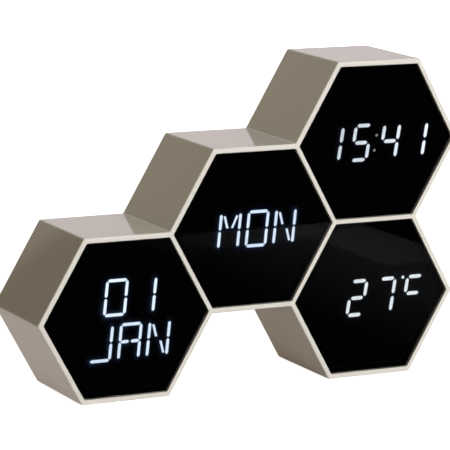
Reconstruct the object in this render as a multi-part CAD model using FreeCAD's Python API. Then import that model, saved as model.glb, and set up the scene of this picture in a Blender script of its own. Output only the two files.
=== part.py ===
import FreeCAD, Part
import math
import os

# A free-standing desk clock of four hexagonal cells in one moulded case.
# The cells show the date, the weekday, the time and the temperature.
# Millimetres. X runs to the right, Y to the rear and Z up. The origin is on the
# resting surface, midway across the case and midway through its depth.

# Case
cell_pitch = 104.0
wall = 2.8
outer_wall = 3.3
case_depth = 69.0
corner_round = 1.5
notch_round = 1.8
front_edge_round = 1.1
rear_edge_round = 0.5
seat_corner_round = 0.7
seat_notch_round = 0.8
opening_corner_round = 1.2
opening_edge_round = 0.2

# Windows and the ledge that they are taped to
window_recess = 0.2
window_thickness = 2.3
window_gap = 0.15
tape_thickness = 0.2
ledge_width = 4.0
ledge_thickness = 2.0

# Light blocks behind the windows, with one shaft for each segment
block_front_gap = 0.3
block_depth = 5.2
block_nose_gap = 0.3
block_side_gap = 1.3
fill_gap = 0.05
fill_to_led = 0.2

# Circuit boards
board_thickness = 1.6
board_side_gap = 2.3
board_hole_radius = 1.35

# Posts in the corners of each cell
post_inset = 6.5
post_radius = 3.0
pillar_radius = 3.5
post_web = 1.6
post_web_root = 1.1
post_gap = 0.5
BOARD_POSTS = (0, 2, 4)
COVER_PILLARS = (1, 3, 5)

# Rear cover
cover_thickness = 2.5
cover_recess = 1.5
cover_gap = 0.3
lip_thickness = 1.8

# Screws
screw_radius = 1.15
screw_hole_gap = 0.05
screw_pass_gap = 0.35
screw_head_radius = 2.3
screw_head_height = 1.3
screw_head_round = 0.4
head_gap = 0.3
screw_length = 9.0
screw_tip_gap = 0.8
cross_width = 0.6
cross_length = 2.6
cross_depth = 0.7

# Feet
foot_radius = 4.5
foot_thickness = 1.6
foot_stand = 0.8
foot_edge = 0.25
foot_gap = 0.15
foot_inset = 11.0

# Seven-bar figures of the time and temperature cells
figure_width = 11.4
figure_height = 22.7
figure_bar = 2.5
figure_tip_gap = 0.75
figure_middle_gap = 1.0
figure_slant = 8.2
figure_pitch = 21.1
colon_extra_pitch = 0.8
colon_radius = 1.0
colon_below_top = 6.95
colon_above_bottom = 5.75
degree_radius = 1.1
degree_shift = 1.0

# Fourteen-bar letters of the weekday and date cells
letter_width = 14.0
letter_height = 22.3
letter_bar = 2.1
letter_tip_gap = 0.25
letter_middle_gap = 0.5
letter_slant = 5.0
letter_pitch = 20.25
diagonal_width = 1.7
diagonal_foot = 1.7
post_bar_width = 1.6
post_bar_start = 2.6

# Where the rows of characters stand in their cells, from the cell's centre
time_row = (0.4, -0.65)
temperature_row = (1.1, -0.95)
weekday_row = (3.4, -0.6)
day_row = (3.0, 13.7)
month_row = (3.2, -15.5)

# Light-emitting chips and what else is on the display boards
led_length = 0.8
led_width = 1.0
led_height = 0.8
driver_width = 7.5
driver_length = 17.9
driver_height = 2.3
driver_lift = 0.2
lead_pitch = 1.27
lead_count = 12
lead_width = 0.4
lead_reach = 1.4
lead_thickness = 0.25

# Ribbon cables with their sockets and plugs
ribbon_width = 10.0
ribbon_thickness = 0.9
ribbon_bend = 4.5
ribbon_run = 2.5
socket_from_centre = 24.0
near_socket_from_centre = 8.0
socket_height = 5.0
socket_wall = 1.0
socket_floor = 1.2
plug_gap = 0.15
plug_stand = 2.5
notch_side_gap = 2.0
notch_floor_gap = 4.0

# Main board, in the weekday cell and screwed to the rear cover
main_board_drop = 8.0
boss_radius = 3.0
boss_from_corner = 14.0

# Push buttons
button_radius = 4.0
button_hole_gap = 0.3
button_proud = 1.2
button_travel = 0.5
button_pitch = 16.0
button_row_height = 24.0
button_flange_width = 1.0
button_flange_thickness = 1.0
flange_gap = 0.1
button_edge_round = 0.7
button_stem_radius = 2.0
button_mark_depth = 0.25
button_mark_length = 3.2
button_mark_width = 0.8
switch_size = 6.0
switch_height = 3.5
plunger_radius = 1.7
plunger_gap = 0.3
plunger_stand = 1.3
plunger_sunk = 1.2

# Alarm slide switch
slider_place = (-26.0, 4.0)
slider_travel = 2.0
slider_length = 2.6
slider_height = 2.6
slider_proud = 1.0
slider_gap = 0.3
slide_body_length = 9.0
slide_body_height = 5.4
slide_body_depth = 4.0
slide_slot_depth = 2.2

# Power inlet
jack_place = (-28.0, -14.0)
jack_size = 9.0
jack_nose_radius = 4.2
jack_bore_radius = 2.8
jack_bore_depth = 9.0
jack_pin_radius = 1.0
jack_pin_short = 1.2
jack_pin_round = 0.4
jack_sunk = 0.3
jack_gap = 0.3

# Sounder
sounder_place = (29.0, 4.0)
sounder_radius = 6.0
sounder_gap = 0.4
sound_hole_radius = 0.8
sound_hole_ring = 3.0
sound_hole_count = 6

# Backup cell, its holder and its door
cell_place = (2.0, -8.0)
coin_radius = 10.0
coin_thickness = 3.2
coin_step = 0.5
coin_gap = 0.15
holder_wall = 1.3
holder_floor = 0.8
clip_width = 5.0
clip_thickness = 0.3
clip_past_middle = 3.3
well_gap = 0.6
well_wall = 1.2
well_to_board = 1.5
door_margin = 3.0
door_screw_zone = 7.5
door_thickness = 1.2
door_gap = 0.3
door_corner_round = 2.0
door_boss_depth = 5.0
door_grip_count = 4
door_grip_pitch = 1.8
door_grip_width = 0.8
door_grip_length = 9.0
door_grip_depth = 0.3

# Temperature sensor behind its vents
sensor_place = (0.0, 10.0)
sensor_size = 5.0
sensor_thickness = 2.0
sensor_gap = 0.8
lead_radius = 0.8
lead_shift = 12.0
lead_bend = 5.0
vent_count = 4
vent_length = 12.0
vent_width = 1.6
vent_end_flat = 0.2
vent_pitch = 3.6

# Chips and other parts of the main board
chip_size = 10.0
chip_thickness = 1.5
chip_edge_round = 0.4
chip_place = (0.0, 12.0)
crystal_place = (-16.0, 14.0)
crystal_radius = 1.5
crystal_length = 8.0
capacitor_radius = 3.15
capacitor_height = 7.0
capacitor_edge_round = 0.5
capacitor_places = ((-8.0, -22.0), (8.0, -30.0))

# How near two planes or two points lie when they count as one
same_plane = 1e-6
same_point = 1e-3

# Depths behind the front rim, and levels that follow from the sizes
root3 = math.sqrt(3.0)
edge = cell_pitch / root3
opening = cell_pitch - wall
ledge_opening = opening - 2 * ledge_width
window_back = window_recess + window_thickness
ledge_front = window_back + tape_thickness
ledge_back = ledge_front + ledge_thickness
block_front = window_back + block_front_gap
block_back = ledge_back + block_depth
board_back = block_back + board_thickness
cover_back = case_depth - cover_recess
cover_front = cover_back - cover_thickness
main_back = cover_front - main_board_drop
main_front = main_back - board_thickness
ribbon_start = main_front - socket_height - plug_stand
ribbon_level = ribbon_start - ribbon_bend - ribbon_run
post_reach = opening / root3 - post_inset
screw_hole_radius = screw_radius + screw_hole_gap
screw_pass_radius = screw_radius + screw_pass_gap
case_offset = outer_wall - wall / 2
lip_offset = case_offset - lip_thickness
base_level = foot_stand + case_offset

# Cells by column and row of the honeycomb, half a pitch high for each row
CELLS = {"date": (-1, 1), "weekday": (0, 2), "time": (1, 3), "temperature": (1, 1)}

# Corners of the four joined cells, in half edges across and half pitches up
OUTLINE = (
    (-4, 0), (-2, 0), (-1, 1), (1, 1), (2, 0), (4, 0), (5, 1), (4, 2),
    (5, 3), (4, 4), (2, 4), (1, 3), (-1, 3), (-2, 2), (-4, 2), (-5, 1),
)

# Bars that light up for each character
FIGURES = {
    " ": (),
    "1": ("upper_right", "lower_right"),
    "2": ("top", "upper_right", "middle", "lower_left", "bottom"),
    "4": ("upper_left", "upper_right", "middle", "lower_right"),
    "5": ("top", "upper_left", "middle", "lower_right", "bottom"),
    "7": ("top", "upper_right", "lower_right"),
    "c": ("top", "upper_left", "middle"),
}
LETTERS = {
    "0": ("top", "upper_right", "lower_right", "bottom", "lower_left", "upper_left"),
    "1": ("upper_right", "lower_right"),
    "A": ("top", "upper_right", "lower_right", "lower_left", "upper_left", "middle_left", "middle_right"),
    "J": ("upper_right", "lower_right", "bottom"),
    "M": ("upper_right", "lower_right", "lower_left", "upper_left", "slant_up_left", "slant_up_right"),
    "N": ("upper_right", "lower_right", "lower_left", "upper_left", "slant_up_left", "slant_down_right"),
    "O": ("top", "upper_right", "lower_right", "bottom", "lower_left", "upper_left"),
}


# Basic shapes

def level(depth):
    """Y of a plane that lies this far behind the front rim."""
    return depth - case_depth / 2


def centre(name):
    """X and Z of a cell's centre."""
    column, row = CELLS[name]
    return column * 1.5 * edge, base_level + row * cell_pitch / 2


def place(name, offset):
    """X and Z of a point given from a cell's centre."""
    x, z = centre(name)
    return x + offset[0], z + offset[1]


def prism(points, front, back):
    """A solid on an outline of X and Z points, between two depths."""
    corners = [FreeCAD.Vector(x, level(front), z) for x, z in points]
    face = Part.Face(Part.makePolygon(corners + corners[:1]))
    return face.extrude(FreeCAD.Vector(0, back - front, 0))


def rounded_prism(points, front, back, outer_round, inner_round=None):
    """A prism whose corners are arcs, with their own radius where it turns in."""
    inner_round = outer_round if inner_round is None else inner_round
    count = len(points)
    runs = []
    for i in range(count):
        before = FreeCAD.Vector(points[i - 1][0], 0, points[i - 1][1])
        corner = FreeCAD.Vector(points[i][0], 0, points[i][1])
        after = FreeCAD.Vector(points[(i + 1) % count][0], 0, points[(i + 1) % count][1])
        arrive = (corner - before).normalize()
        leave = (after - corner).normalize()
        turn = arrive.getAngle(leave)
        turns_out = arrive.x * leave.z - arrive.z * leave.x > 0
        radius = outer_round if turns_out else inner_round
        cut = radius * math.tan(turn / 2)
        inward = (leave - arrive).normalize()
        start = corner - arrive * cut
        end = corner + leave * cut
        middle = corner + inward * (radius / math.cos(turn / 2) - radius)
        runs.append((start, middle, end))
    edges = []
    for i in range(count):
        start, middle, end = runs[i]
        edges.append(Part.Arc(start, middle, end).toShape())
        edges.append(Part.LineSegment(end, runs[(i + 1) % count][0]).toShape())
    face = Part.Face(Part.Wire(edges))
    face.translate(FreeCAD.Vector(0, level(front), 0))
    return face.extrude(FreeCAD.Vector(0, back - front, 0))


def rod(spot, radius, front, back):
    """A round bar along Y, between two depths."""
    base = FreeCAD.Vector(spot[0], level(front), spot[1])
    return Part.makeCylinder(radius, back - front, base, FreeCAD.Vector(0, 1, 0))


def rectangle(spot, length, height):
    """Corners of an upright rectangle round a spot."""
    x, z = spot
    half_x = length / 2
    half_z = height / 2
    sides = ((-1, -1), (1, -1), (1, 1), (-1, 1))
    return [(x + right * half_x, z + up * half_z) for right, up in sides]


def slab(spot, length, height, front, back):
    """A rectangular block round a spot, between two depths."""
    return prism(rectangle(spot, length, height), front, back)


def hexagon(name, across):
    """Corners of a cell's hexagon, with this size across its flats."""
    x, z = centre(name)
    radius = across / root3
    angles = [math.radians(60 * i) for i in range(6)]
    return [(x + radius * math.cos(angle), z + radius * math.sin(angle)) for angle in angles]


def grown(points, offset):
    """An outline moved out by an offset, or in where the offset is negative."""
    count = len(points)
    twice_area = sum(points[i - 1][0] * points[i][1] - points[i][0] * points[i - 1][1] for i in range(count))
    sign = 1 if twice_area > 0 else -1
    moved = []
    for i in range(count):
        x, z = points[i]
        normals = []
        for start, end in ((points[i - 1], points[i]), (points[i], points[(i + 1) % count])):
            length = math.hypot(end[0] - start[0], end[1] - start[1])
            normals.append((sign * (end[1] - start[1]) / length, sign * (start[0] - end[0]) / length))
        (ax, az), (bx, bz) = normals
        share = offset / (1 + ax * bx + az * bz)
        moved.append((x + share * (ax + bx), z + share * (az + bz)))
    return moved


def outline(offset):
    """Corners of the whole case's outline, moved out from the cells' shared lines."""
    return grown([(x * edge / 2, base_level + z * cell_pitch / 2) for x, z in OUTLINE], offset)


def edges_at(shape, depth):
    """Edges of a shape that lie wholly at one depth."""
    y = level(depth)
    boxes = [(e, e.BoundBox) for e in shape.Edges]
    return [e for e, box in boxes if abs(box.YMin - y) < same_plane and abs(box.YMax - y) < same_plane]


def round_edges(shape, radius, depth):
    """The shape with the edges at one depth rounded."""
    return shape.makeFillet(radius, edges_at(shape, depth))


# Corner posts

def post_spot(name, corner, reach=None):
    """X and Z of a post, along the line from a cell's centre to one of its corners."""
    x, z = centre(name)
    angle = math.radians(60 * corner)
    reach = post_reach if reach is None else reach
    return x + reach * math.cos(angle), z + reach * math.sin(angle)


def corner_post(name, corner, radius, front, back, grow=0.0):
    """A round post with a web that joins it to the case's corner."""
    spot = post_spot(name, corner)
    tip = post_spot(name, corner, opening / root3 + post_web_root)
    angle = math.radians(60 * corner)
    half = post_web / 2 + grow
    side_x = -math.sin(angle) * half
    side_z = math.cos(angle) * half
    web = prism(
        [
            (spot[0] - side_x, spot[1] - side_z),
            (tip[0] - side_x, tip[1] - side_z),
            (tip[0] + side_x, tip[1] + side_z),
            (spot[0] + side_x, spot[1] + side_z),
        ],
        front,
        back,
    )
    return rod(spot, radius + grow, front, back).fuse(web)


def clear_posts(shape, name, corners, radius, front, back):
    """The shape with room cut for the posts in these corners."""
    for corner in corners:
        shape = shape.cut(corner_post(name, corner, radius, front, back, post_gap))
    return shape


# Case

def notch_across(name, half_width, front, back):
    """The gap in the shared wall between the weekday cell and a neighbour."""
    x0, z0 = centre("weekday")
    x1, z1 = centre(name)
    length = math.hypot(x1 - x0, z1 - z0)
    along = ((x1 - x0) / length, (z1 - z0) / length)
    middle = ((x0 + x1) / 2, (z0 + z1) / 2)
    corners = []
    for run, side in ((-1, -1), (1, -1), (1, 1), (-1, 1)):
        x = middle[0] + run * wall * along[0] - side * half_width * along[1]
        z = middle[1] + run * wall * along[1] + side * half_width * along[0]
        corners.append((x, z))
    return prism(corners, front, back)


def foot_spots():
    """X and Y of the feet, two under each cell that stands on the surface."""
    y = case_depth / 2 - foot_inset
    return [(centre(name)[0], side * y) for name in ("date", "temperature") for side in (-1, 1)]


def make_case():
    """The moulded case: four cells, their ledges, posts and rear lip."""
    case = rounded_prism(outline(case_offset), 0, case_depth, corner_round, notch_round)
    case = round_edges(case, front_edge_round, 0)
    case = round_edges(case, rear_edge_round, case_depth)
    outer_rim = [e.CenterOfMass for e in edges_at(case, 0)]
    for name in CELLS:
        pocket = rounded_prism(hexagon(name, opening), 0, ledge_front, opening_corner_round)
        case = case.cut(pocket)
    rims = [e for e in edges_at(case, 0) if all((e.CenterOfMass - p).Length > same_point for p in outer_rim)]
    case = case.makeFillet(opening_edge_round, rims)
    for name in CELLS:
        through = rounded_prism(hexagon(name, ledge_opening), ledge_front, ledge_back, opening_corner_round)
        hollow = rounded_prism(hexagon(name, opening), ledge_back, cover_front, opening_corner_round)
        case = case.cut(through).cut(hollow)
        for corner in BOARD_POSTS:
            post = corner_post(name, corner, post_radius, ledge_back, block_back)
            hole = rod(post_spot(name, corner), screw_hole_radius, ledge_back, block_back)
            case = case.fuse(post).cut(hole)
        for corner in COVER_PILLARS:
            pillar = corner_post(name, corner, pillar_radius, ledge_back, cover_front)
            hole = rod(post_spot(name, corner), screw_hole_radius, cover_front - screw_length, cover_front)
            case = case.fuse(pillar).cut(hole)
    seat = rounded_prism(outline(lip_offset), cover_front, case_depth, seat_corner_round, seat_notch_round)
    case = case.cut(seat)
    for name in CELLS:
        if name != "weekday":
            half_width = ribbon_width / 2 + notch_side_gap
            case = case.cut(notch_across(name, half_width, ribbon_level - notch_floor_gap, cover_front))
    for x, y in foot_spots():
        base = FreeCAD.Vector(x, y, foot_stand)
        depth = foot_thickness - foot_stand
        case = case.cut(Part.makeCylinder(foot_radius + foot_gap, depth, base, FreeCAD.Vector(0, 0, 1)))
    return case.removeSplitter()


def make_feet():
    """Four rubber pads let into the undersides of the two lower cells."""
    feet = []
    for x, y in foot_spots():
        pad = Part.makeCylinder(foot_radius, foot_thickness, FreeCAD.Vector(x, y, 0), FreeCAD.Vector(0, 0, 1))
        rim = [e for e in pad.Edges if abs(e.BoundBox.ZMax) < same_plane]
        feet.append(pad.makeChamfer(foot_edge, rim))
    return feet


# Windows and light blocks

def make_window(name):
    """A dark clear pane, taped against the ledge of its cell."""
    pane = hexagon(name, opening - 2 * window_gap)
    return rounded_prism(pane, window_recess, window_back, opening_corner_round)


def make_tapes():
    """Frames of thin black tape between the panes and the ledges."""
    tapes = []
    for name in CELLS:
        outer = hexagon(name, opening - 2 * window_gap)
        inner = hexagon(name, ledge_opening)
        frame = rounded_prism(outer, window_back, ledge_front, opening_corner_round)
        tapes.append(frame.cut(rounded_prism(inner, window_back, ledge_front, opening_corner_round)))
    return tapes


def bar_between(start, end, thickness, gap, end_gap=None):
    """Corners of a bar with pointed ends between two points of a character."""
    end_gap = gap if end_gap is None else end_gap
    length = math.hypot(end[0] - start[0], end[1] - start[1])
    along = ((end[0] - start[0]) / length, (end[1] - start[1]) / length)
    half = thickness / 2
    stations = (
        (gap, 0), (gap + half, half), (length - end_gap - half, half),
        (length - end_gap, 0), (length - end_gap - half, -half), (gap + half, -half),
    )
    return [
        (start[0] + run * along[0] - side * along[1], start[1] + run * along[1] + side * along[0])
        for run, side in stations
    ]


def figure_bars():
    """Outlines of the bars of one upright seven-bar figure, by name."""
    x = figure_width / 2
    z = figure_height / 2
    gap = figure_tip_gap
    bar = figure_bar
    return {
        "top": bar_between((-x, z), (x, z), bar, gap),
        "upper_right": bar_between((x, z), (x, 0), bar, gap),
        "lower_right": bar_between((x, 0), (x, -z), bar, gap),
        "bottom": bar_between((-x, -z), (x, -z), bar, gap),
        "lower_left": bar_between((-x, 0), (-x, -z), bar, gap),
        "upper_left": bar_between((-x, z), (-x, 0), bar, gap),
        "middle": bar_between((-x, 0), (x, 0), bar, figure_middle_gap),
    }


def letter_bars():
    """Outlines of the bars of one upright fourteen-bar letter, by name."""
    x = letter_width / 2
    z = letter_height / 2
    gap = letter_tip_gap
    bar = letter_bar
    middle = letter_middle_gap
    bars = {
        "top": bar_between((-x, z), (x, z), bar, gap),
        "upper_right": bar_between((x, z), (x, 0), bar, gap),
        "lower_right": bar_between((x, 0), (x, -z), bar, gap),
        "bottom": bar_between((-x, -z), (x, -z), bar, gap),
        "lower_left": bar_between((-x, 0), (-x, -z), bar, gap),
        "upper_left": bar_between((-x, z), (-x, 0), bar, gap),
        "middle_left": bar_between((-x, 0), (0, 0), bar, gap, middle),
        "middle_right": bar_between((0, 0), (x, 0), bar, middle, gap),
    }
    half = diagonal_width / 2
    low = bar / 2 + 2 * gap
    high = z - bar / 2 - 2 * gap
    head = x - bar / 2 - 2 * gap - half
    for across, side in ((-1, "left"), (1, "right")):
        for up, way in ((1, "up"), (-1, "down")):
            bars["slant_" + way + "_" + side] = [
                (across * diagonal_foot - half, up * low),
                (across * diagonal_foot + half, up * low),
                (across * head + half, up * high),
                (across * head - half, up * high),
            ]
    for up, way in ((1, "up"), (-1, "down")):
        spot = (0, up * (post_bar_start + high) / 2)
        bars["post_" + way] = rectangle(spot, post_bar_width, high - post_bar_start)
    return bars


def lean(points, spot, slant):
    """Points of an upright character, leant over and moved to its spot."""
    slope = math.tan(math.radians(slant))
    return [(spot[0] + x + slope * z, spot[1] + z) for x, z in points]


def figure_spots(row):
    """Offsets of four seven-bar figures, with room for a colon in the middle."""
    near = (figure_pitch + colon_extra_pitch) / 2
    far = near + figure_pitch
    return [(row[0] + x, row[1]) for x in (-far, -near, near, far)]


def letter_spots(row, count):
    """Offsets of a row of fourteen-bar letters."""
    first = -(count - 1) * letter_pitch / 2
    return [(row[0] + first + i * letter_pitch, row[1]) for i in range(count)]


def characters(spots, text, bars, glyphs, slant):
    """Outlines of a row's bars, each with a mark that says whether it is lit."""
    rows = []
    for spot, character in zip(spots, text):
        for name, points in bars.items():
            rows.append((lean(points, spot, slant), name in glyphs[character]))
    return rows


def cell_bars(name):
    """Outlines of all the bars in a cell, from the cell's centre."""
    if name == "time":
        return characters(figure_spots(time_row), "1541", figure_bars(), FIGURES, figure_slant)
    if name == "temperature":
        return characters(figure_spots(temperature_row), " 27c", figure_bars(), FIGURES, figure_slant)
    if name == "weekday":
        return characters(letter_spots(weekday_row, 3), "MON", letter_bars(), LETTERS, letter_slant)
    day = characters(letter_spots(day_row, 2), "01", letter_bars(), LETTERS, letter_slant)
    return day + characters(letter_spots(month_row, 3), "JAN", letter_bars(), LETTERS, letter_slant)


def cell_dots(name):
    """Round lights of a cell: offset, radius and kind."""
    dots = []
    if name in ("time", "temperature"):
        row = time_row if name == "time" else temperature_row
        for rise in (figure_height / 2 - colon_below_top, colon_above_bottom - figure_height / 2):
            spot = lean([(0, rise)], row, figure_slant)[0]
            dots.append((spot, colon_radius, "colon"))
    if name == "temperature":
        across = figure_pitch + colon_extra_pitch / 2 + degree_shift
        spot = lean([(across, figure_height / 2)], temperature_row, figure_slant)[0]
        dots.append((spot, degree_radius, "degree"))
    return dots


def bar_middle(points):
    """The middle of a bar's outline."""
    return sum(x for x, z in points) / len(points), sum(z for x, z in points) / len(points)


def at_cell(name, points):
    """Points given from a cell's centre, moved to that cell."""
    return [place(name, point) for point in points]


def make_block(name):
    """The opaque block behind a window, with a shaft for each bar and dot."""
    across = opening - 2 * block_side_gap
    body = rounded_prism(hexagon(name, across), ledge_back, block_back, opening_corner_round)
    nose_across = ledge_opening - 2 * block_nose_gap
    nose = rounded_prism(hexagon(name, nose_across), block_front, ledge_back, opening_corner_round)
    body = clear_posts(body, name, BOARD_POSTS, post_radius, ledge_back, block_back)
    body = clear_posts(body, name, COVER_PILLARS, pillar_radius, ledge_back, block_back)
    block = body.fuse(nose)
    shafts = [prism(at_cell(name, points), block_front, block_back) for points, lit in cell_bars(name)]
    for spot, radius, kind in cell_dots(name):
        shafts.append(rod(place(name, spot), radius, block_front, block_back))
    return block.cut(Part.makeCompound(shafts)).removeSplitter()


def make_fills(name, wanted_lit):
    """Milky fills of the bars and of the temperature cell's dots, either lit or unlit ones."""
    back = block_back - led_height - fill_to_led
    fills = []
    for points, lit in cell_bars(name):
        if lit == wanted_lit:
            fills.append(prism(at_cell(name, grown(points, -fill_gap)), block_front, back))
    if name == "temperature":
        wanted_kind = "degree" if wanted_lit else "colon"
        dots = [(spot, radius) for spot, radius, kind in cell_dots(name) if kind == wanted_kind]
        fills += [rod(place(name, spot), radius - fill_gap, block_front, back) for spot, radius in dots]
    return fills


def make_colon():
    """Milky fills of the colon's two dots in the time cell."""
    back = block_back - led_height - fill_to_led
    dots = cell_dots("time")
    return [rod(place("time", spot), radius - fill_gap, block_front, back) for spot, radius, kind in dots]


def make_leds():
    """One light-emitting chip at the foot of every shaft."""
    chips = []
    for name in CELLS:
        spots = [bar_middle(points) for points, lit in cell_bars(name)]
        spots += [spot for spot, radius, kind in cell_dots(name)]
        for spot in spots:
            chips.append(slab(place(name, spot), led_length, led_width, block_back - led_height, block_back))
    return chips


# Display boards

def make_display_board(name):
    """The board that closes the back of a light block."""
    across = opening - 2 * board_side_gap
    board = rounded_prism(hexagon(name, across), block_back, board_back, opening_corner_round)
    board = clear_posts(board, name, COVER_PILLARS, pillar_radius, block_back, board_back)
    for corner in BOARD_POSTS:
        board = board.cut(rod(post_spot(name, corner), board_hole_radius, block_back, board_back))
    return board


def driver_chip(name):
    """A driver chip with its two rows of bent leads."""
    x, z = centre(name)
    front = board_back + driver_lift
    solids = [slab((x, z), driver_length, driver_width, front, front + driver_height)]
    middle = front + driver_height / 2
    for side in (-1, 1):
        root = z + side * driver_width / 2
        for i in range(lead_count):
            lead_x = x + (i - (lead_count - 1) / 2) * lead_pitch
            base = FreeCAD.Vector(lead_x - lead_width / 2, 0, 0)
            profile = (
                (root, middle), (root, middle + lead_thickness),
                (root + side * lead_reach / 2, middle + lead_thickness),
                (root + side * lead_reach / 2, board_back + lead_thickness),
                (root + side * lead_reach, board_back + lead_thickness),
                (root + side * lead_reach, board_back),
                (root + side * (lead_reach / 2 - lead_thickness), board_back),
                (root + side * (lead_reach / 2 - lead_thickness), middle),
            )
            corners = [FreeCAD.Vector(0, level(depth), height) + base for height, depth in profile]
            face = Part.Face(Part.makePolygon(corners + corners[:1]))
            solids.append(face.extrude(FreeCAD.Vector(lead_width, 0, 0)))
    return solids


def make_drivers():
    """The driver chips of the four display boards."""
    return [solid for name in CELLS for solid in driver_chip(name)]


# Ribbon cables

def towards(name):
    """Unit vector across the weekday cell, towards a neighbour or, for itself, down."""
    x0, z0 = centre("weekday")
    x1, z1 = centre(name)
    if name == "weekday":
        return 0.0, -1.0
    length = math.hypot(x1 - x0, z1 - z0)
    return (x1 - x0) / length, (z1 - z0) / length


def turned_rectangle(name, run, length, width):
    """Corners of a rectangle square to a ribbon, at a distance from the weekday cell's centre."""
    x0, z0 = centre("weekday")
    ax, az = towards(name)
    corners = []
    for along, side in ((-1, -1), (1, -1), (1, 1), (-1, 1)):
        distance = run + along * length / 2
        across = side * width / 2
        corners.append((x0 + distance * ax - across * az, z0 + distance * az + across * ax))
    return corners


def turned_slab(name, run, length, width, one_depth, other_depth):
    """A block square to a ribbon, between two depths given in any order."""
    corners = turned_rectangle(name, run, length, width)
    return prism(corners, min(one_depth, other_depth), max(one_depth, other_depth))


def ribbon_ends(name):
    """Distances of a ribbon's two ends from the weekday cell's centre."""
    if name == "weekday":
        return near_socket_from_centre, socket_from_centre
    return socket_from_centre, cell_pitch - socket_from_centre


def socket_sizes():
    """Length and width of a socket and of its plug."""
    plug_length = ribbon_thickness + 2 * socket_wall
    plug_width = ribbon_width + 2 * socket_wall
    rim = 2 * (socket_wall + plug_gap)
    return plug_length, plug_width, plug_length + rim, plug_width + rim


def make_sockets():
    """Open-topped sockets, one on each display board and four on the main board."""
    plug_length, plug_width, length, width = socket_sizes()
    sockets = []
    for name in CELLS:
        main_end, far_end = ribbon_ends(name)
        inner_length = plug_length + 2 * plug_gap
        inner_width = plug_width + 2 * plug_gap
        for run, face, sign in ((main_end, main_front, -1), (far_end, board_back, 1)):
            floor = face + sign * socket_floor
            mouth = face + sign * socket_height
            body = turned_slab(name, run, length, width, face, mouth)
            hollow = turned_slab(name, run, inner_length, inner_width, floor, mouth)
            sockets.append(body.cut(hollow))
    return sockets


def make_plugs():
    """The plugs on the ribbons' ends, pushed into the sockets."""
    plug_length, plug_width, length, width = socket_sizes()
    plugs = []
    for name in CELLS:
        main_end, far_end = ribbon_ends(name)
        for run, face, sign in ((main_end, main_front, -1), (far_end, board_back, 1)):
            foot = face + sign * (socket_floor + plug_gap)
            head = face + sign * (socket_height + plug_stand)
            plugs.append(turned_slab(name, run, plug_length, plug_width, foot, head))
    return plugs


def bent_path(points, bend):
    """Straight runs through points, with an arc of one radius at each turn."""
    edges = []
    last = points[0]
    for i in range(1, len(points) - 1):
        arrive = (points[i] - points[i - 1]).normalize()
        leave = (points[i + 1] - points[i]).normalize()
        turn = arrive.getAngle(leave)
        cut = bend * math.tan(turn / 2)
        inward = (leave - arrive).normalize()
        arc_start = points[i] - arrive * cut
        arc_middle = points[i] + inward * (bend / math.cos(turn / 2) - bend)
        arc_end = points[i] + leave * cut
        edges.append(Part.LineSegment(last, arc_start).toShape())
        edges.append(Part.Arc(arc_start, arc_middle, arc_end).toShape())
        last = arc_end
    edges.append(Part.LineSegment(last, points[-1]).toShape())
    return Part.Wire(edges)


def make_ribbon(name):
    """A flat cable from the main board to a display board."""
    x0, z0 = centre("weekday")
    ax, az = towards(name)
    main_end, far_end = ribbon_ends(name)
    finish = board_back + socket_height + plug_stand
    if name == "weekday":
        upper = (2 * ribbon_start + finish) / 3
        lower = (ribbon_start + 2 * finish) / 3
    else:
        upper = ribbon_level
        lower = ribbon_level
    route = ((main_end, ribbon_start), (main_end, upper), (far_end, lower), (far_end, finish))
    points = [FreeCAD.Vector(x0 + run * ax, level(depth), z0 + run * az) for run, depth in route]
    corners = turned_rectangle(name, main_end, ribbon_thickness, ribbon_width)
    section = [FreeCAD.Vector(x, level(ribbon_start), z) for x, z in corners]
    section = Part.makePolygon(section + section[:1])
    return bent_path(points, ribbon_bend).makePipeShell([section], True, False)


# Screws

def screw(spot, head_depth, points_front, length):
    """A pan-head screw along Y, with a cross in its head and its shank a plain bar."""
    if points_front:
        shank = rod(spot, screw_radius, head_depth - length, head_depth)
        head = rod(spot, screw_head_radius, head_depth, head_depth + screw_head_height)
        top = head_depth + screw_head_height
        slot_front, slot_back = top - cross_depth, top
    else:
        shank = rod(spot, screw_radius, head_depth, head_depth + length)
        head = rod(spot, screw_head_radius, head_depth - screw_head_height, head_depth)
        top = head_depth - screw_head_height
        slot_front, slot_back = top, top + cross_depth
    head = round_edges(head, screw_head_round, top)
    body = head.fuse(shank)
    body = body.cut(slab(spot, cross_length, cross_width, slot_front, slot_back))
    return body.cut(slab(spot, cross_width, cross_length, slot_front, slot_back)).removeSplitter()


def make_cover_screws():
    """Screws that hold the rear cover to the case's pillars."""
    seat = cover_back - screw_head_height
    reach = screw_length - screw_head_height
    return [screw(post_spot(name, corner), seat, True, reach) for name in CELLS for corner in COVER_PILLARS]


def boss_spots():
    """The main board's screw places, in three corners of the weekday cell."""
    reach = opening / root3 - boss_from_corner
    return [post_spot("weekday", corner, reach) for corner in BOARD_POSTS]


def make_board_screws():
    """Screws that hold the display boards to the case and the main board to the cover."""
    length = board_thickness + block_depth - screw_tip_gap
    spots = [post_spot(name, corner) for name in CELLS for corner in BOARD_POSTS]
    screws = [screw(spot, board_back, True, length) for spot in spots]
    return screws + [screw(spot, main_front, False, length) for spot in boss_spots()]


# Rear cover and what it carries

def button_spots():
    """The four push buttons, in a row across the weekday cell."""
    offsets = [((i - 1.5) * button_pitch, button_row_height) for i in range(4)]
    return [place("weekday", offset) for offset in offsets]


def well_size():
    """Inner size of the square well round the backup cell's holder."""
    return 2 * (coin_radius + coin_gap + holder_wall + well_gap)


def door_size():
    """Length and height of the door's recess in the cover."""
    return well_size() + 2 * door_margin, well_size() + 2 * door_screw_zone


def door_screw_spots():
    """The door's two screws, above and below the well."""
    x, z = place("weekday", cell_place)
    rise = well_size() / 2 + door_screw_zone / 2
    return [(x, z + rise), (x, z - rise)]


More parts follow.
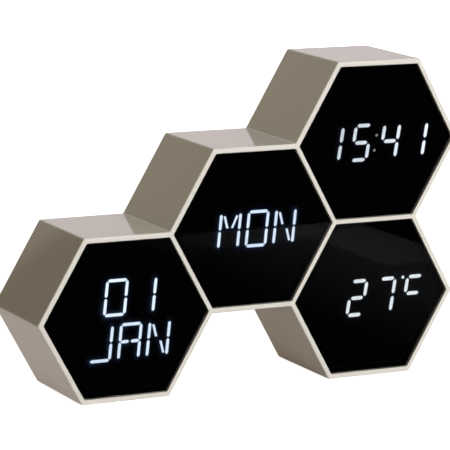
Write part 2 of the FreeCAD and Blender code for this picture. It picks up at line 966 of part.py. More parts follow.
def slider_slot():
    """Corners of the room that the alarm slider moves in."""
    x, z = place("weekday", slider_place)
    length = slider_length + slider_travel + 2 * slider_gap
    return rectangle((x + slider_travel / 2, z), length, slider_height + 2 * slider_gap)


def sound_holes():
    """Spots of the holes over the sounder: one in the middle and a ring."""
    x, z = place("weekday", sounder_place)
    spots = [(x, z)]
    for i in range(sound_hole_count):
        angle = 2 * math.pi * i / sound_hole_count
        spots.append((x + sound_hole_ring * math.cos(angle), z + sound_hole_ring * math.sin(angle)))
    return spots


def make_cover():
    """The rear cover, with its bosses, battery well, slots, holes and vents."""
    plate = outline(lip_offset - cover_gap)
    cover = rounded_prism(plate, cover_front, cover_back, seat_corner_round, seat_notch_round)
    for spot in boss_spots():
        cover = cover.fuse(rod(spot, boss_radius, main_back, cover_front))
    door_length, door_height = door_size()
    cell_spot = place("weekday", cell_place)
    outer = well_size() + 2 * well_wall
    cover = cover.fuse(slab(cell_spot, outer, outer, main_back + well_to_board, cover_front))
    for spot in door_screw_spots():
        cover = cover.fuse(rod(spot, boss_radius, cover_front - door_boss_depth, cover_front))
    cover = cover.cut(slab(cell_spot, well_size(), well_size(), main_back, cover_back))
    door = rectangle(cell_spot, door_length, door_height)
    cover = cover.cut(rounded_prism(door, cover_back - door_thickness, cover_back, door_corner_round))
    for spot in boss_spots():
        cover = cover.cut(rod(spot, screw_hole_radius, main_back, cover_front))
    for spot in door_screw_spots():
        cover = cover.cut(rod(spot, screw_hole_radius, cover_front - door_boss_depth, cover_back))
    for name in CELLS:
        for corner in COVER_PILLARS:
            spot = post_spot(name, corner)
            sink = rod(spot, screw_head_radius + head_gap, cover_back - screw_head_height, cover_back)
            cover = cover.cut(rod(spot, screw_pass_radius, cover_front, cover_back)).cut(sink)
    for spot in button_spots():
        cover = cover.cut(rod(spot, button_radius + button_hole_gap, cover_front, cover_back))
    cover = cover.cut(prism(slider_slot(), cover_front, cover_back))
    cover = cover.cut(rod(place("weekday", jack_place), jack_nose_radius + jack_gap, cover_front, cover_back))
    for spot in sound_holes():
        cover = cover.cut(rod(spot, sound_hole_radius, cover_front, cover_back))
    for i in range(vent_count):
        rise = (i - (vent_count - 1) / 2) * vent_pitch
        spot = place("temperature", (sensor_place[0], sensor_place[1] + rise))
        vent = rectangle(spot, vent_length, vent_width)
        cover = cover.cut(rounded_prism(vent, cover_front, cover_back, (vent_width - vent_end_flat) / 2))
    return cover.removeSplitter()


def button_mark(spot, kind, top):
    """A plain mark let into a button's face."""
    front = top - button_mark_depth
    if kind == "dot":
        return rod(spot, button_mark_width, front, top)
    mark = slab(spot, button_mark_length, button_mark_width, front, top)
    if kind == "plus":
        mark = mark.fuse(slab(spot, button_mark_width, button_mark_length, front, top))
    if kind == "frame":
        inner = button_mark_length - 2 * button_mark_width
        mark = slab(spot, button_mark_length, button_mark_length, front, top)
        mark = mark.cut(slab(spot, inner, inner, front, top))
    return mark


def flange_back():
    """Depth of the rear face of the buttons' flanges."""
    return cover_front - flange_gap


def switch_top():
    """Depth of the top of the switches' plungers at rest."""
    return main_back + switch_height + plunger_stand


def make_button(index, kind):
    """A push button's cap, with a flange behind the cover and a stem on the switch."""
    spot = button_spots()[index]
    top = cover_back + button_proud
    cap = rod(spot, button_radius, flange_back(), top)
    cap = round_edges(cap, button_edge_round, top)
    flange_front = flange_back() - button_flange_thickness
    flange = rod(spot, button_radius + button_flange_width, flange_front, flange_back())
    stem = rod(spot, button_stem_radius, switch_top(), flange_front)
    return cap.fuse(flange).fuse(stem).cut(button_mark(spot, kind, top)).removeSplitter()


def make_plunger(index):
    """The plunger of the switch under a button."""
    spot = button_spots()[index]
    return rod(spot, plunger_radius, main_back + switch_height - plunger_sunk, switch_top())


def make_switches():
    """The bodies of the four push switches on the main board."""
    bodies = []
    for spot in button_spots():
        body = slab(spot, switch_size, switch_size, main_back, main_back + switch_height)
        bottom = main_back + switch_height - plunger_sunk - button_travel - plunger_gap
        bodies.append(body.cut(rod(spot, plunger_radius + plunger_gap, bottom, main_back + switch_height)))
    return bodies


def make_slide_body():
    """The body of the alarm slide switch on the main board."""
    x, z = place("weekday", slider_place)
    spot = (x + slider_travel / 2, z)
    back = main_back + slide_body_depth
    body = slab(spot, slide_body_length, slide_body_height, main_back, back)
    return body.cut(prism(slider_slot(), back - slide_slot_depth, back))


def make_slider():
    """The slider of the alarm switch, standing out through the cover's slot."""
    spot = place("weekday", slider_place)
    top = cover_back + slider_proud
    foot = main_back + slide_body_depth - slide_slot_depth + slider_gap
    body = slab(spot, slider_length, slider_height, foot, top)
    rib = slider_length / 5
    for side in (-1, 1):
        groove = (spot[0] + side * rib, spot[1])
        body = body.cut(slab(groove, rib, slider_height, top - rib, top))
    return body.removeSplitter()


def make_jack():
    """The power inlet: a moulded body on the main board with a round nose."""
    spot = place("weekday", jack_place)
    face = cover_back - jack_sunk
    shoulder = cover_front - jack_sunk
    body = slab(spot, jack_size, jack_size, main_back, shoulder)
    nose = rod(spot, jack_nose_radius, shoulder, face)
    bore = rod(spot, jack_bore_radius, face - jack_bore_depth, face)
    return body.fuse(nose).cut(bore).removeSplitter()


def make_jack_pin():
    """The pin in the middle of the power inlet."""
    spot = place("weekday", jack_place)
    face = cover_back - jack_sunk
    pin = rod(spot, jack_pin_radius, face - jack_bore_depth, face - jack_pin_short)
    return round_edges(pin, jack_pin_round, face - jack_pin_short)


def make_sounder():
    """The round sounder under its holes, with the port in its top."""
    spot = place("weekday", sounder_place)
    back = cover_front - sounder_gap
    body = rod(spot, sounder_radius, main_back, back)
    return body.cut(rod(spot, sound_hole_radius, main_back + board_thickness, back))


def coin_front():
    """Depth of the backup cell's front face."""
    return main_back + holder_floor


def make_holder():
    """The round holder of the backup cell."""
    spot = place("weekday", cell_place)
    radius = coin_radius + coin_gap
    body = rod(spot, radius + holder_wall, main_back, coin_front() + coin_thickness)
    return body.cut(rod(spot, radius, coin_front(), coin_front() + coin_thickness))


def make_coin():
    """The round backup cell, with its stepped negative side to the front."""
    spot = place("weekday", cell_place)
    front = coin_front()
    step = rod(spot, coin_radius - 2 * coin_step, front, front + coin_step)
    return step.fuse(rod(spot, coin_radius, front + coin_step, front + coin_thickness))


def make_clip():
    """The sprung strip that holds the backup cell down."""
    x, z = place("weekday", cell_place)
    radius = coin_radius + coin_gap + holder_wall
    length = radius + clip_past_middle
    back = coin_front() + coin_thickness
    spot = (x - radius + length / 2, z)
    return slab(spot, length, clip_width, back, back + clip_thickness)


def make_door():
    """The backup cell's door, flush in the cover, with a ribbed grip."""
    spot = place("weekday", cell_place)
    length, height = door_size()
    plate = rectangle(spot, length - 2 * door_gap, height - 2 * door_gap)
    door = rounded_prism(plate, cover_back - door_thickness, cover_back, door_corner_round - door_gap)
    for hole in door_screw_spots():
        door = door.cut(rod(hole, screw_pass_radius, cover_back - door_thickness, cover_back))
    groove_front = cover_back - door_grip_depth
    for i in range(door_grip_count):
        rise = (i - (door_grip_count - 1) / 2) * door_grip_pitch
        groove = (spot[0], spot[1] + rise)
        door = door.cut(slab(groove, door_grip_length, door_grip_width, groove_front, cover_back))
    return door


def make_door_screws():
    """The two screws that hold the door."""
    length = door_thickness + door_boss_depth
    return [screw(spot, cover_back, True, length) for spot in door_screw_spots()]


def make_main_board():
    """The main board, on the cover's bosses."""
    across = opening - 2 * board_side_gap
    board = rounded_prism(hexagon("weekday", across), main_front, main_back, opening_corner_round)
    board = clear_posts(board, "weekday", COVER_PILLARS, pillar_radius, main_front, main_back)
    for spot in boss_spots():
        board = board.cut(rod(spot, board_hole_radius, main_front, main_back))
    return board


def make_chip():
    """The clock's controller, flat on the front of the main board."""
    spot = place("weekday", chip_place)
    body = slab(spot, chip_size, chip_size, main_front - chip_thickness, main_front)
    return round_edges(body, chip_edge_round, main_front - chip_thickness)


def make_crystal():
    """The can of the timing crystal, lying on the main board."""
    x, z = place("weekday", crystal_place)
    base = FreeCAD.Vector(x - crystal_length / 2, level(main_front) - crystal_radius, z)
    return Part.makeCylinder(crystal_radius, crystal_length, base, FreeCAD.Vector(1, 0, 0))


def make_capacitors():
    """The two smoothing capacitors."""
    cans = []
    for offset in capacitor_places:
        spot = place("weekday", offset)
        can = rod(spot, capacitor_radius, main_front - capacitor_height, main_front)
        cans.append(round_edges(can, capacitor_edge_round, main_front - capacitor_height))
    return cans


def make_sensor():
    """The temperature sensor, close behind the vents of its cell's cover."""
    spot = place("temperature", sensor_place)
    back = cover_front - sensor_gap
    return slab(spot, sensor_size, sensor_size, back - sensor_thickness, back)


def make_sensor_lead():
    """The thin lead from the sensor to the temperature cell's board."""
    x, z = place("temperature", sensor_place)
    start = cover_front - sensor_gap - sensor_thickness
    upper = (2 * start + board_back) / 3
    lower = (start + 2 * board_back) / 3
    route = ((x, start), (x, upper), (x - lead_shift, lower), (x - lead_shift, board_back))
    points = [FreeCAD.Vector(px, level(depth), z) for px, depth in route]
    ring = Part.Wire([Part.makeCircle(lead_radius, points[0], FreeCAD.Vector(0, 1, 0))])
    return bent_path(points, lead_bend).makePipeShell([ring], True, False)


# Node names and their solids

NODES = {
    "case": make_case,
    "rear_cover": make_cover,
    "feet": make_feet,
    "window_tapes": make_tapes,
    "time_colon": make_colon,
    "segment_leds": make_leds,
    "driver_chips": make_drivers,
    "board_sockets": make_sockets,
    "ribbon_plugs": make_plugs,
    "cover_screws": make_cover_screws,
    "board_screws": make_board_screws,
    "main_board": make_main_board,
    "controller_chip": make_chip,
    "timing_crystal": make_crystal,
    "smoothing_capacitors": make_capacitors,
    "button_switches": make_switches,
    "alarm_switch_body": make_slide_body,
    "alarm_slider": make_slider,
    "power_inlet": make_jack,
    "power_inlet_pin": make_jack_pin,
    "sounder": make_sounder,
    "cell_holder": make_holder,
    "backup_cell": make_coin,
    "cell_clip": make_clip,
    "battery_door": make_door,
    "door_screws": make_door_screws,
    "temperature_sensor": make_sensor,
    "sensor_lead": make_sensor_lead,
}

BUTTONS = (("set", "frame"), ("minus", "minus"), ("plus", "plus"), ("alarm", "dot"))


def export(node, made):
    """Writes one node's solid, or its group of separate solids."""
    shape = Part.makeCompound(made) if isinstance(made, list) else made
    shape.exportStep("parts/" + node + ".step")


def main():
    """Builds and writes every node."""
    os.makedirs("parts", exist_ok=True)
    for node, make in NODES.items():
        export(node, make())
    for name in CELLS:
        export(name + "_window", make_window(name))
        export(name + "_light_block", make_block(name))
        export(name + "_bars_lit", make_fills(name, True))
        export(name + "_bars_unlit", make_fills(name, False))
        export(name + "_board", make_display_board(name))
        export(name + "_ribbon", make_ribbon(name))
    for index, (name, mark) in enumerate(BUTTONS):
        export(name + "_button", make_button(index, mark))
        export(name + "_plunger", make_plunger(index))


main()
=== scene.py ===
"""Dresses a desk clock of four hexagonal cells and lights it on a plain pale floor.

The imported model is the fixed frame. The case, the cover and the inner pieces keep their
shapes and get finishes. The panes, the lit bars, the films behind the panes, the buttons,
the screws and the feet are modelled here and stand for their plain solids. Sizes are metres
unless a name says otherwise, and places are worked out from the frame.
"""
import logging
import math
from collections.abc import Callable, Iterator
from contextlib import contextmanager
from dataclasses import dataclass
from enum import Enum

import bmesh
import bpy
import numpy as np
from mathutils import Matrix, Vector


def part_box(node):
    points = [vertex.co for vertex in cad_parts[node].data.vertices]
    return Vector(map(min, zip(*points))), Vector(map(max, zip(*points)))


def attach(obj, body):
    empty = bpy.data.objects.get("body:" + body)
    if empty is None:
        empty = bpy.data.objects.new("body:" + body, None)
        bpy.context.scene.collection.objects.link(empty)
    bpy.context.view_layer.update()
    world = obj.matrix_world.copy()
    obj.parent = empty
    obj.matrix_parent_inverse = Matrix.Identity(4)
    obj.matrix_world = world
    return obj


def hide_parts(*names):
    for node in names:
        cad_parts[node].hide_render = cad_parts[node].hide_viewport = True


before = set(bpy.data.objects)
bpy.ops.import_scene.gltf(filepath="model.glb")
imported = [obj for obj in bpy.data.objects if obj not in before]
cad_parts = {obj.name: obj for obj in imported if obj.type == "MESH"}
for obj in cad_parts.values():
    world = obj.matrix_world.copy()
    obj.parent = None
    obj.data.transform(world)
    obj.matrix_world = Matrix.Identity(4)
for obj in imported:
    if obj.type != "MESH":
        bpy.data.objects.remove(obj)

log = logging.getLogger("desk_clock")

Piece = bpy.types.Object
Tree = bpy.types.NodeTree
Node = bpy.types.Node
Socket = bpy.types.NodeSocket

MM = 0.001
BODY = "clock"
# Edges that turn by less are shaded smooth
SMOOTH_BELOW = math.radians(35)
# Neighbouring faces of a copied node that turn by less are one face
FLAT_BELOW = math.radians(1)
# Points closer than this along an axis share their place, and points closer than a tenth of it are one
SAME_PLACE = 0.01 * MM
MERGE_BELOW = SAME_PLACE / 10
# A face is square to an axis where its normal has more than this along the axis
SQUARE = 0.99
# Attribute that holds how much painted glow a point of a film gets, drawn as emission for the bars' spilled
# light
SPILL = "spill"
# Nearly all of a noise lies between these
NOISE_LOW, NOISE_HIGH = 0.35, 0.65
# The roughness wanders over this share of the size of the tone's drift
WANDER_SHARE = 1 / 3
# Sockets of a Mix node that mixes two colours
MIX_SHARE, MIX_FIRST, MIX_LAST, MIX_RESULT = 0, 6, 7, 2
WHITE = (1.0, 1.0, 1.0, 1.0)


class Cell(Enum):
    """The four cells, by what each one shows."""

    DATE = "date"
    WEEKDAY = "weekday"
    TIME = "time"
    TEMPERATURE = "temperature"

    def node(self, part: str) -> str:
        """Name of this cell's node for a part."""
        return f"{self.value}_{part}"

    def middle(self) -> Vector:
        """Middle of the cell's window."""
        low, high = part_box(self.node("window"))
        return (low + high) / 2


class Element(Enum):
    """What a selection in edit mode is made of."""

    VERTS = "VERT"
    EDGES = "EDGE"
    FACES = "FACE"


class Mark(Enum):
    """The mark let into a button, under the button's name."""

    FRAME = "set"
    MINUS = "minus"
    PLUS = "plus"
    DOT = "alarm"


def linear(hex_code: str) -> tuple[float, float, float, float]:
    """Turns an sRGB hex colour into the linear colour that a shader takes.

    Args:
        hex_code: Six hex digits, such as "d9cdc0".

    Returns:
        Red, green and blue in linear light, with an alpha of 1.
    """
    channels = [int(hex_code[i:i + 2], 16) / 255 for i in (0, 2, 4)]
    low = [c / 12.92 for c in channels]
    high = [((c + 0.055) / 1.055) ** 2.4 for c in channels]
    return tuple(a if c <= 0.04045 else b for c, a, b in zip(channels, low, high)) + (1.0,)


def add_node(tree: Tree, kind: str, links: dict | None = None, **settings: object) -> Node:
    """Adds a shader node with its settings and its inputs.

    Args:
        tree: The node tree that gets the node.
        kind: The node's type name without "ShaderNode".
        links: Input names with a value, or with the output socket that feeds them.
        settings: Properties of the node itself.

    Returns:
        The new node.
    """
    node = tree.nodes.new("ShaderNode" + kind)
    for name, value in settings.items():
        setattr(node, name, value)
    for name, value in (links or {}).items():
        if isinstance(value, Socket):
            tree.links.new(value, node.inputs[name])
        else:
            node.inputs[name].default_value = value
    return node


def per_metre(size_mm: float) -> float:
    """Noise scale whose features are about this many millimetres across."""
    return 1000.0 / size_mm


@dataclass(frozen=True)
class Finish:
    """What every finish has: its name, its colour and how glossy it is.

    Attributes:
        name: The material's name.
        colour: Base colour as sRGB hex.
        tone: Share by which the colour drifts lighter and darker.
        tone_mm: Size of that drift.
        roughness: Middle of the surface's roughness.
        roughness_drift: How far the roughness wanders either way.
        grain_mm: Size of the surface's fine grain.
        grain_depth_mm: Depth of that grain.
        metallic: 1 for a metal.
        ior: Index of refraction, where it isn't a metal.
        specular: Specular level, 0.5 for a plain surface.
    """

    name: str
    colour: str
    tone: float = 0.03
    tone_mm: float = 30.0
    roughness: float = 0.4
    roughness_drift: float = 0.05
    grain_mm: float = 0.6
    grain_depth_mm: float = 0.01
    metallic: float = 0.0
    ior: float = 1.5
    specular: float = 0.5

    def material(self) -> bpy.types.Material:
        """Finds the finish's material, or makes it.

        Returns:
            The Blender material of this finish.
        """
        found = bpy.data.materials.get(self.name)
        if found:
            return found
        made = bpy.data.materials.new(self.name)
        made.use_nodes = True
        tree = made.node_tree
        shader = tree.nodes["Principled BSDF"]
        shader.inputs["Metallic"].default_value = self.metallic
        if not self.metallic:
            shader.inputs["IOR"].default_value = self.ior
            shader.inputs["Specular IOR Level"].default_value = self.specular
        place = add_node(tree, "TexCoord").outputs["Object"]
        self.shade(tree, shader, place)
        return made

    def shade(self, tree: Tree, shader: Node, place: Socket) -> None:
        """Wires a slow drift of tone, a roughness that wanders a little, and a fine grain as bump.

        Args:
            tree: The material's node tree.
            shader: Its Principled node.
            place: Object coordinates in metres.
        """
        drift = add_node(tree, "TexNoise", {
            "Vector": place, "Scale": per_metre(self.tone_mm), "Detail": 2.0,
        })
        base = linear(self.colour)[:3]
        dark, pale = (tuple(c * (1 + side * self.tone) for c in base) + (1.0,) for side in (-1, 1))
        mix = add_node(tree, "Mix", {MIX_SHARE: drift.outputs[0], MIX_FIRST: dark, MIX_LAST: pale},
                       data_type="RGBA")
        tree.links.new(mix.outputs[MIX_RESULT], shader.inputs["Base Color"])
        wander = add_node(tree, "TexNoise", {
            "Vector": place, "Scale": per_metre(self.tone_mm * WANDER_SHARE), "Detail": 3.0,
        })
        span = add_node(tree, "MapRange", {
            "Value": wander.outputs[0],
            "To Min": max(self.roughness - self.roughness_drift, 0.0),
            "To Max": self.roughness + self.roughness_drift,
        })
        tree.links.new(span.outputs[0], shader.inputs["Roughness"])
        grain = add_node(tree, "TexNoise", {
            "Vector": place, "Scale": per_metre(self.grain_mm), "Detail": 2.0,
        })
        bump = add_node(tree, "Bump", {"Height": grain.outputs[0], "Distance": self.grain_depth_mm * MM})
        tree.links.new(bump.outputs[0], shader.inputs["Normal"])


@dataclass(frozen=True)
class SmokedAcrylic(Finish):
    """Polished dark acrylic: black from the front, and clear to a light behind it.

    Attributes:
        cover: How much of what lies behind the pane it hides.
    """

    cover: float = 0.22

    def shade(self, tree: Tree, shader: Node, place: Socket) -> None:
        """Wires the plain finish and the see-through share."""
        super().shade(tree, shader, place)
        shader.inputs["Alpha"].default_value = self.cover


@dataclass(frozen=True)
class LitFill(Finish):
    """Milky fill with a light behind it: a glow that changes along the cell and from bar to bar.

    Attributes:
        first: Glow at the start of the run, as sRGB hex.
        last: Glow at its end.
        first_strength: Strength of the glow at the start.
        last_strength: Strength at the end.
        axis: The axis that the run follows.
        run_from: Where it starts on that axis.
        run_to: Where it ends.
        patch: Share that the glow loses in its weaker bars.
        patch_mm: Size of the patches of weaker bars.
    """

    first: str = "ffffff"
    last: str = "ffffff"
    first_strength: float = 1.2
    last_strength: float = 1.2
    axis: str = "X"
    run_from: float = 0.0
    run_to: float = 1.0
    patch: float = 0.1
    patch_mm: float = 9.0

    def shade(self, tree: Tree, shader: Node, place: Socket) -> None:
        """Wires the plain finish and the glow.

        Args:
            tree: The material's node tree.
            shader: Its Principled node.
            place: Object coordinates in metres.
        """
        super().shade(tree, shader, place)
        along = add_node(tree, "SeparateXYZ", {"Vector": place}).outputs[self.axis]
        run = add_node(tree, "MapRange", {
            "Value": along, "From Min": self.run_from, "From Max": self.run_to,
        })
        glow = add_node(tree, "Mix", {MIX_SHARE: run.outputs[0]}, data_type="RGBA")
        brightest = max(self.first_strength, self.last_strength)
        for socket, colour, strength in (
            (MIX_FIRST, self.first, self.first_strength),
            (MIX_LAST, self.last, self.last_strength),
        ):
            scaled = tuple(c * strength / brightest for c in linear(colour)[:3])
            glow.inputs[socket].default_value = scaled + (1.0,)
        patches = add_node(tree, "TexNoise", {
            "Vector": place, "Scale": per_metre(self.patch_mm), "Detail": 0.0,
        })
        loss = add_node(tree, "MapRange", {
            "Value": patches.outputs[0],
            "From Min": NOISE_LOW,
            "From Max": NOISE_HIGH,
            "To Min": 1 - self.patch,
            "To Max": 1.0,
        })
        dimmed = add_node(tree, "VectorMath", {0: glow.outputs[MIX_RESULT], "Scale": loss.outputs[0]},
                          operation="SCALE")
        tree.links.new(dimmed.outputs[0], shader.inputs["Emission Color"])
        shader.inputs["Emission Strength"].default_value = brightest


@dataclass(frozen=True)
class SpillFilm(Finish):
    """Black film round the lit bars, with a painted glow of their light drawn on it as emission.

    Attributes:
        haze: Colour of the painted glow, as sRGB hex.
        strength: Emission strength of the painted glow right beside a bar.
    """

    haze: str = "9cc0ff"
    strength: float = 0.5

    def shade(self, tree: Tree, shader: Node, place: Socket) -> None:
        """Wires the plain finish and the painted glow, an emission that follows the film's own attribute.

        Args:
            tree: The material's node tree.
            shader: Its Principled node.
            place: Object coordinates in metres.
        """
        super().shade(tree, shader, place)
        near = add_node(tree, "Attribute", attribute_name=SPILL).outputs["Fac"]
        haze = add_node(tree, "VectorMath", {0: linear(self.haze)[:3], "Scale": near}, operation="SCALE")
        tree.links.new(haze.outputs[0], shader.inputs["Emission Color"])
        shader.inputs["Emission Strength"].default_value = self.strength


# Injection-moulded ABS from a polished mould: an even gloss that mirrors the room at low angles
CASE_ABS = Finish("moulded_gloss_abs", "d2cec0", tone=0.015, tone_mm=60.0, roughness=0.07,
                  roughness_drift=0.02, grain_mm=2.0, grain_depth_mm=0.001, ior=1.53)
# ABS from a spark-eroded mould: a fine even sparkle that hides scratches
COVER_ABS = Finish("spark_textured_abs", "c9c4b5", tone=0.02, roughness=0.5, grain_mm=0.5,
                   grain_depth_mm=0.03, ior=1.53)
# Satin ABS: the cap's rim catches a soft light
BUTTON_ABS = Finish("satin_abs", "bdb6a6", tone=0.02, roughness=0.32, grain_mm=0.4,
                    grain_depth_mm=0.006, ior=1.53)
# Pad-printing ink in the buttons' marks: matt and dark
MARK_INK = Finish("matt_dark_ink", "4a4038", roughness=0.7, grain_mm=0.3)
# Polished smoked acrylic: a black mirror from the front, through which the lit bars show
PANE = SmokedAcrylic("polished_smoked_acrylic", "040405", roughness=0.02, roughness_drift=0.01,
                     grain_mm=6.0, grain_depth_mm=0.0005, ior=1.49)
# Foam tape: dull black, with open pores
TAPE = Finish("black_foam_tape", "010101", roughness=0.8, grain_mm=0.3, grain_depth_mm=0.02, specular=0.0)
# Matt black ABS of the light blocks: swallows stray light
BLOCK_ABS = Finish("light_absorbing_black_abs", "020202", roughness=0.7, grain_mm=0.4, specular=0.0)
# Epoxy fill with its light off: the same milky fill as the lit bars, its colour drawn near black as painted
# shade, as dark as the block round it
DARK_FILL = Finish("unlit_milky_fill_painted_dark", "030303", roughness=0.5, specular=0.0)
# Epoxy fill over a light-emitting chip: milky, with the glow weaker in some bars than in others
TIME_GLOW = LitFill("lit_fill_white", "c8d2d6", first="dfeaf2", last="e8f0f8", first_strength=0.76,
                    last_strength=1.24, run_from=0.0616, run_to=0.1308, patch=0.1)
TEMPERATURE_GLOW = LitFill("lit_fill_soft_white", "c8d2d6", first="e6eef1", last="e6eef2",
                           first_strength=1.06, last_strength=1.08, run_from=0.072, run_to=0.1297,
                           patch=0.08)
DATE_GLOW = LitFill("lit_fill_cool_white", "c4d4e4", first="dcecff", last="e0f0ff", first_strength=1.1,
                    last_strength=1.3, axis="Z", run_from=0.051, run_to=0.0565, patch=0.08)
DAY_GLOW = LitFill("lit_fill_blue_white", "c4d4e4", first="dcebff", last="dfedff", first_strength=1.16,
                   last_strength=1.02, run_from=-0.0257, run_to=0.0325, patch=0.1)
COLON_GLOW = LitFill("lit_fill_dim", "808a90", first="9ea2a2", last="9ea2a2", first_strength=0.41,
                     last_strength=0.41, patch=0.05)
# Black film behind the pane, with a faint painted glow beside the lit bars: emission that stands in for
# their spilled light
DATE_HAZE = SpillFilm("black_film_with_strong_painted_glow", "010101", roughness=0.8, specular=0.0,
                      haze="9cc4ff", strength=0.16)
DAY_HAZE = SpillFilm("black_film_with_blue_painted_glow", "010101", roughness=0.8, specular=0.0,
                     haze="86b4ff", strength=0.15)
PALE_HAZE = SpillFilm("black_film_with_faint_painted_glow", "010101", roughness=0.8, specular=0.0,
                      haze="b8d4ff", strength=0.045)
# Yellow phosphor in a white resin cup
LED = Finish("phosphor_on_white_resin", "d9cf7c", roughness=0.4)
# Solder mask: dark green and glossy, a little uneven over the copper below
BOARD = Finish("green_solder_mask", "14402a", tone=0.08, tone_mm=4.0, roughness=0.3, grain_mm=0.25)
# Epoxy moulding compound: dull near-black with a fine mineral grain
RESIN = Finish("epoxy_moulding_compound", "1b1b1d", roughness=0.6, grain_mm=0.2)
# Natural nylon: creamy and waxy
NYLON = Finish("natural_nylon", "dcd6c6", roughness=0.45)
# Flat cable: grey vinyl, uneven at about the spacing of its wires
RIBBON = Finish("grey_vinyl_ribbon", "7c7e82", roughness=0.45, grain_mm=1.27, grain_depth_mm=0.05)
# Bright zinc plating: a cool metal with a slightly uneven lustre
ZINC = Finish("bright_zinc_plate", "c6c7c9", tone=0.05, tone_mm=2.0, roughness=0.26, grain_mm=0.2,
              grain_depth_mm=0.003, metallic=1.0)
# Nickel plating: a warm bright metal
NICKEL = Finish("nickel_plate", "c8c2b4", tone_mm=2.0, roughness=0.22, metallic=1.0, grain_depth_mm=0.002)
# Stainless steel of the coin cell: a soft sheen, with a fine grain from the press
CELL_STEEL = Finish("brushed_stainless_steel", "bdbdbe", roughness=0.3, grain_mm=0.15,
                    grain_depth_mm=0.003, metallic=1.0)
# Drawn aluminium can: soft grey metal
CAN = Finish("drawn_aluminium_can", "b3b4b8", roughness=0.35, metallic=1.0)
# Black ABS of the small parts: satin, with a fine grain
BLACK_ABS = Finish("satin_black_abs", "151516", roughness=0.4, grain_mm=0.4, grain_depth_mm=0.008)
# Nitrile rubber of the feet: dull black
RUBBER = Finish("black_nitrile_rubber", "171717", roughness=0.75, grain_mm=0.5,
                grain_depth_mm=0.02, specular=0.3)


def only(*pieces: Piece) -> None:
    """Selects these pieces and nothing else, with the last one active.

    Args:
        pieces: The pieces.
    """
    bpy.ops.object.select_all(action="DESELECT")
    for piece in pieces:
        piece.select_set(True)
    bpy.context.view_layer.objects.active = pieces[-1]


@contextmanager
def editing(piece: Piece) -> Iterator[None]:
    """Opens a piece in edit mode, and closes it again.

    Args:
        piece: The mesh to edit.
    """
    only(piece)
    bpy.ops.object.mode_set(mode="EDIT")
    yield
    bpy.ops.object.mode_set(mode="OBJECT")


def pick(element: Element, test: Callable) -> None:
    """Selects what a test accepts in the mesh being edited, and nothing else.

    Args:
        element: What the selection is made of.
        test: Says of one vertex, edge or face whether it is picked.
    """
    bpy.ops.mesh.select_mode(type=element.value)
    bpy.ops.mesh.select_all(action="DESELECT")
    mesh = bmesh.from_edit_mesh(bpy.context.edit_object.data)
    sets = {Element.VERTS: mesh.verts, Element.EDGES: mesh.edges, Element.FACES: mesh.faces}
    for item in sets[element]:
        if test(item):
            item.select_set(True)
    mesh.select_flush_mode()
    bmesh.update_edit_mesh(bpy.context.edit_object.data)


def runs_deep(edge: bmesh.types.BMEdge) -> bool:
    """Whether an edge runs along Y."""
    run = edge.verts[1].co - edge.verts[0].co
    return abs(run.x) < SAME_PLACE and abs(run.z) < SAME_PLACE


def lies_at(place: float, axis: int = 1) -> Callable:
    """A test for edges and faces that lie in the plane at a place along an axis, Y unless given."""
    return lambda item: all(abs(vert.co[axis] - place) < SAME_PLACE for vert in item.verts)


def level_at(place: float, axis: int = 1) -> Callable:
    """A test for faces in that plane which leaves out the narrow slopes of a bevel beside it."""
    inside = lies_at(place, axis)
    return lambda face: abs(face.normal[axis]) > SQUARE and inside(face)


def bevel(test: Callable, size: float, segments: int) -> None:
    """Bevels the edges that a test accepts in the mesh being edited."""
    pick(Element.EDGES, test)
    bpy.ops.mesh.bevel(offset=size, segments=segments, affect="EDGES")


def turn_outwards() -> None:
    """Turns all faces of the mesh being edited outwards."""
    bpy.ops.mesh.select_all(action="SELECT")
    bpy.ops.mesh.normals_make_consistent(inside=False)


def settle(piece: Piece) -> None:
    """Puts a piece's place, turn and scale into its mesh."""
    only(piece)
    bpy.ops.object.transform_apply(location=True, rotation=True, scale=True)


def disc(name: str, middle: Vector, radius: float, front: float, rear: float, sides: int,
         turn: float = 0.0) -> Piece:
    """A prism along Y with a regular outline, as a start for turned and hexagonal pieces.

    Args:
        name: The new object's name.
        middle: A point on its axis.
        radius: From the axis to its corners.
        front: Depth of its front face along Y.
        rear: Depth of its rear face.
        sides: How many sides its outline has.
        turn: Turn about its axis, in radians.

    Returns:
        The prism, with its place in its mesh.
    """
    bpy.ops.object.select_all(action="DESELECT")
    bpy.ops.mesh.primitive_cylinder_add(
        vertices=sides, radius=radius, depth=rear - front,
        location=(middle.x, (front + rear) / 2, middle.z), rotation=(math.pi / 2, turn, 0),
    )
    piece = bpy.context.object
    piece.name = name
    settle(piece)
    return piece


def block(name: str, low: Vector, high: Vector) -> Piece:
    """A block between two corners, as a start for cutters and small square pieces.

    Args:
        name: The new object's name.
        low: Its lowest corner.
        high: Its highest corner.

    Returns:
        The block, with its place in its mesh.
    """
    bpy.ops.object.select_all(action="DESELECT")
    bpy.ops.mesh.primitive_cube_add(size=1, location=(low + high) / 2)
    piece = bpy.context.object
    piece.name = name
    piece.scale = high - low
    settle(piece)
    return piece


def stroke(middle: Vector, length: float, width: float, front: float, rear: float) -> Piece:
    """A block for cutting one stroke of a mark or of a screw's cross.

    Args:
        middle: A point on its axis along Y.
        length: Its length along X.
        width: Its width along Z.
        front: Depth of its front face.
        rear: Depth of its rear face.

    Returns:
        The block.
    """
    low = Vector((middle.x - length / 2, front, middle.z - width / 2))
    high = Vector((middle.x + length / 2, rear, middle.z + width / 2))
    return block("stroke", low, high)


def cut(piece: Piece, cutter: Piece) -> None:
    """Cuts one piece out of another and removes the cutter.

    Args:
        piece: What is cut.
        cutter: The shape that is taken out of it.
    """
    only(piece)
    trim = piece.modifiers.new("trim", "BOOLEAN")
    trim.operation = "DIFFERENCE"
    trim.solver = "EXACT"
    trim.object = cutter
    bpy.ops.object.modifier_apply(modifier=trim.name)
    bpy.data.objects.remove(cutter, do_unlink=True)


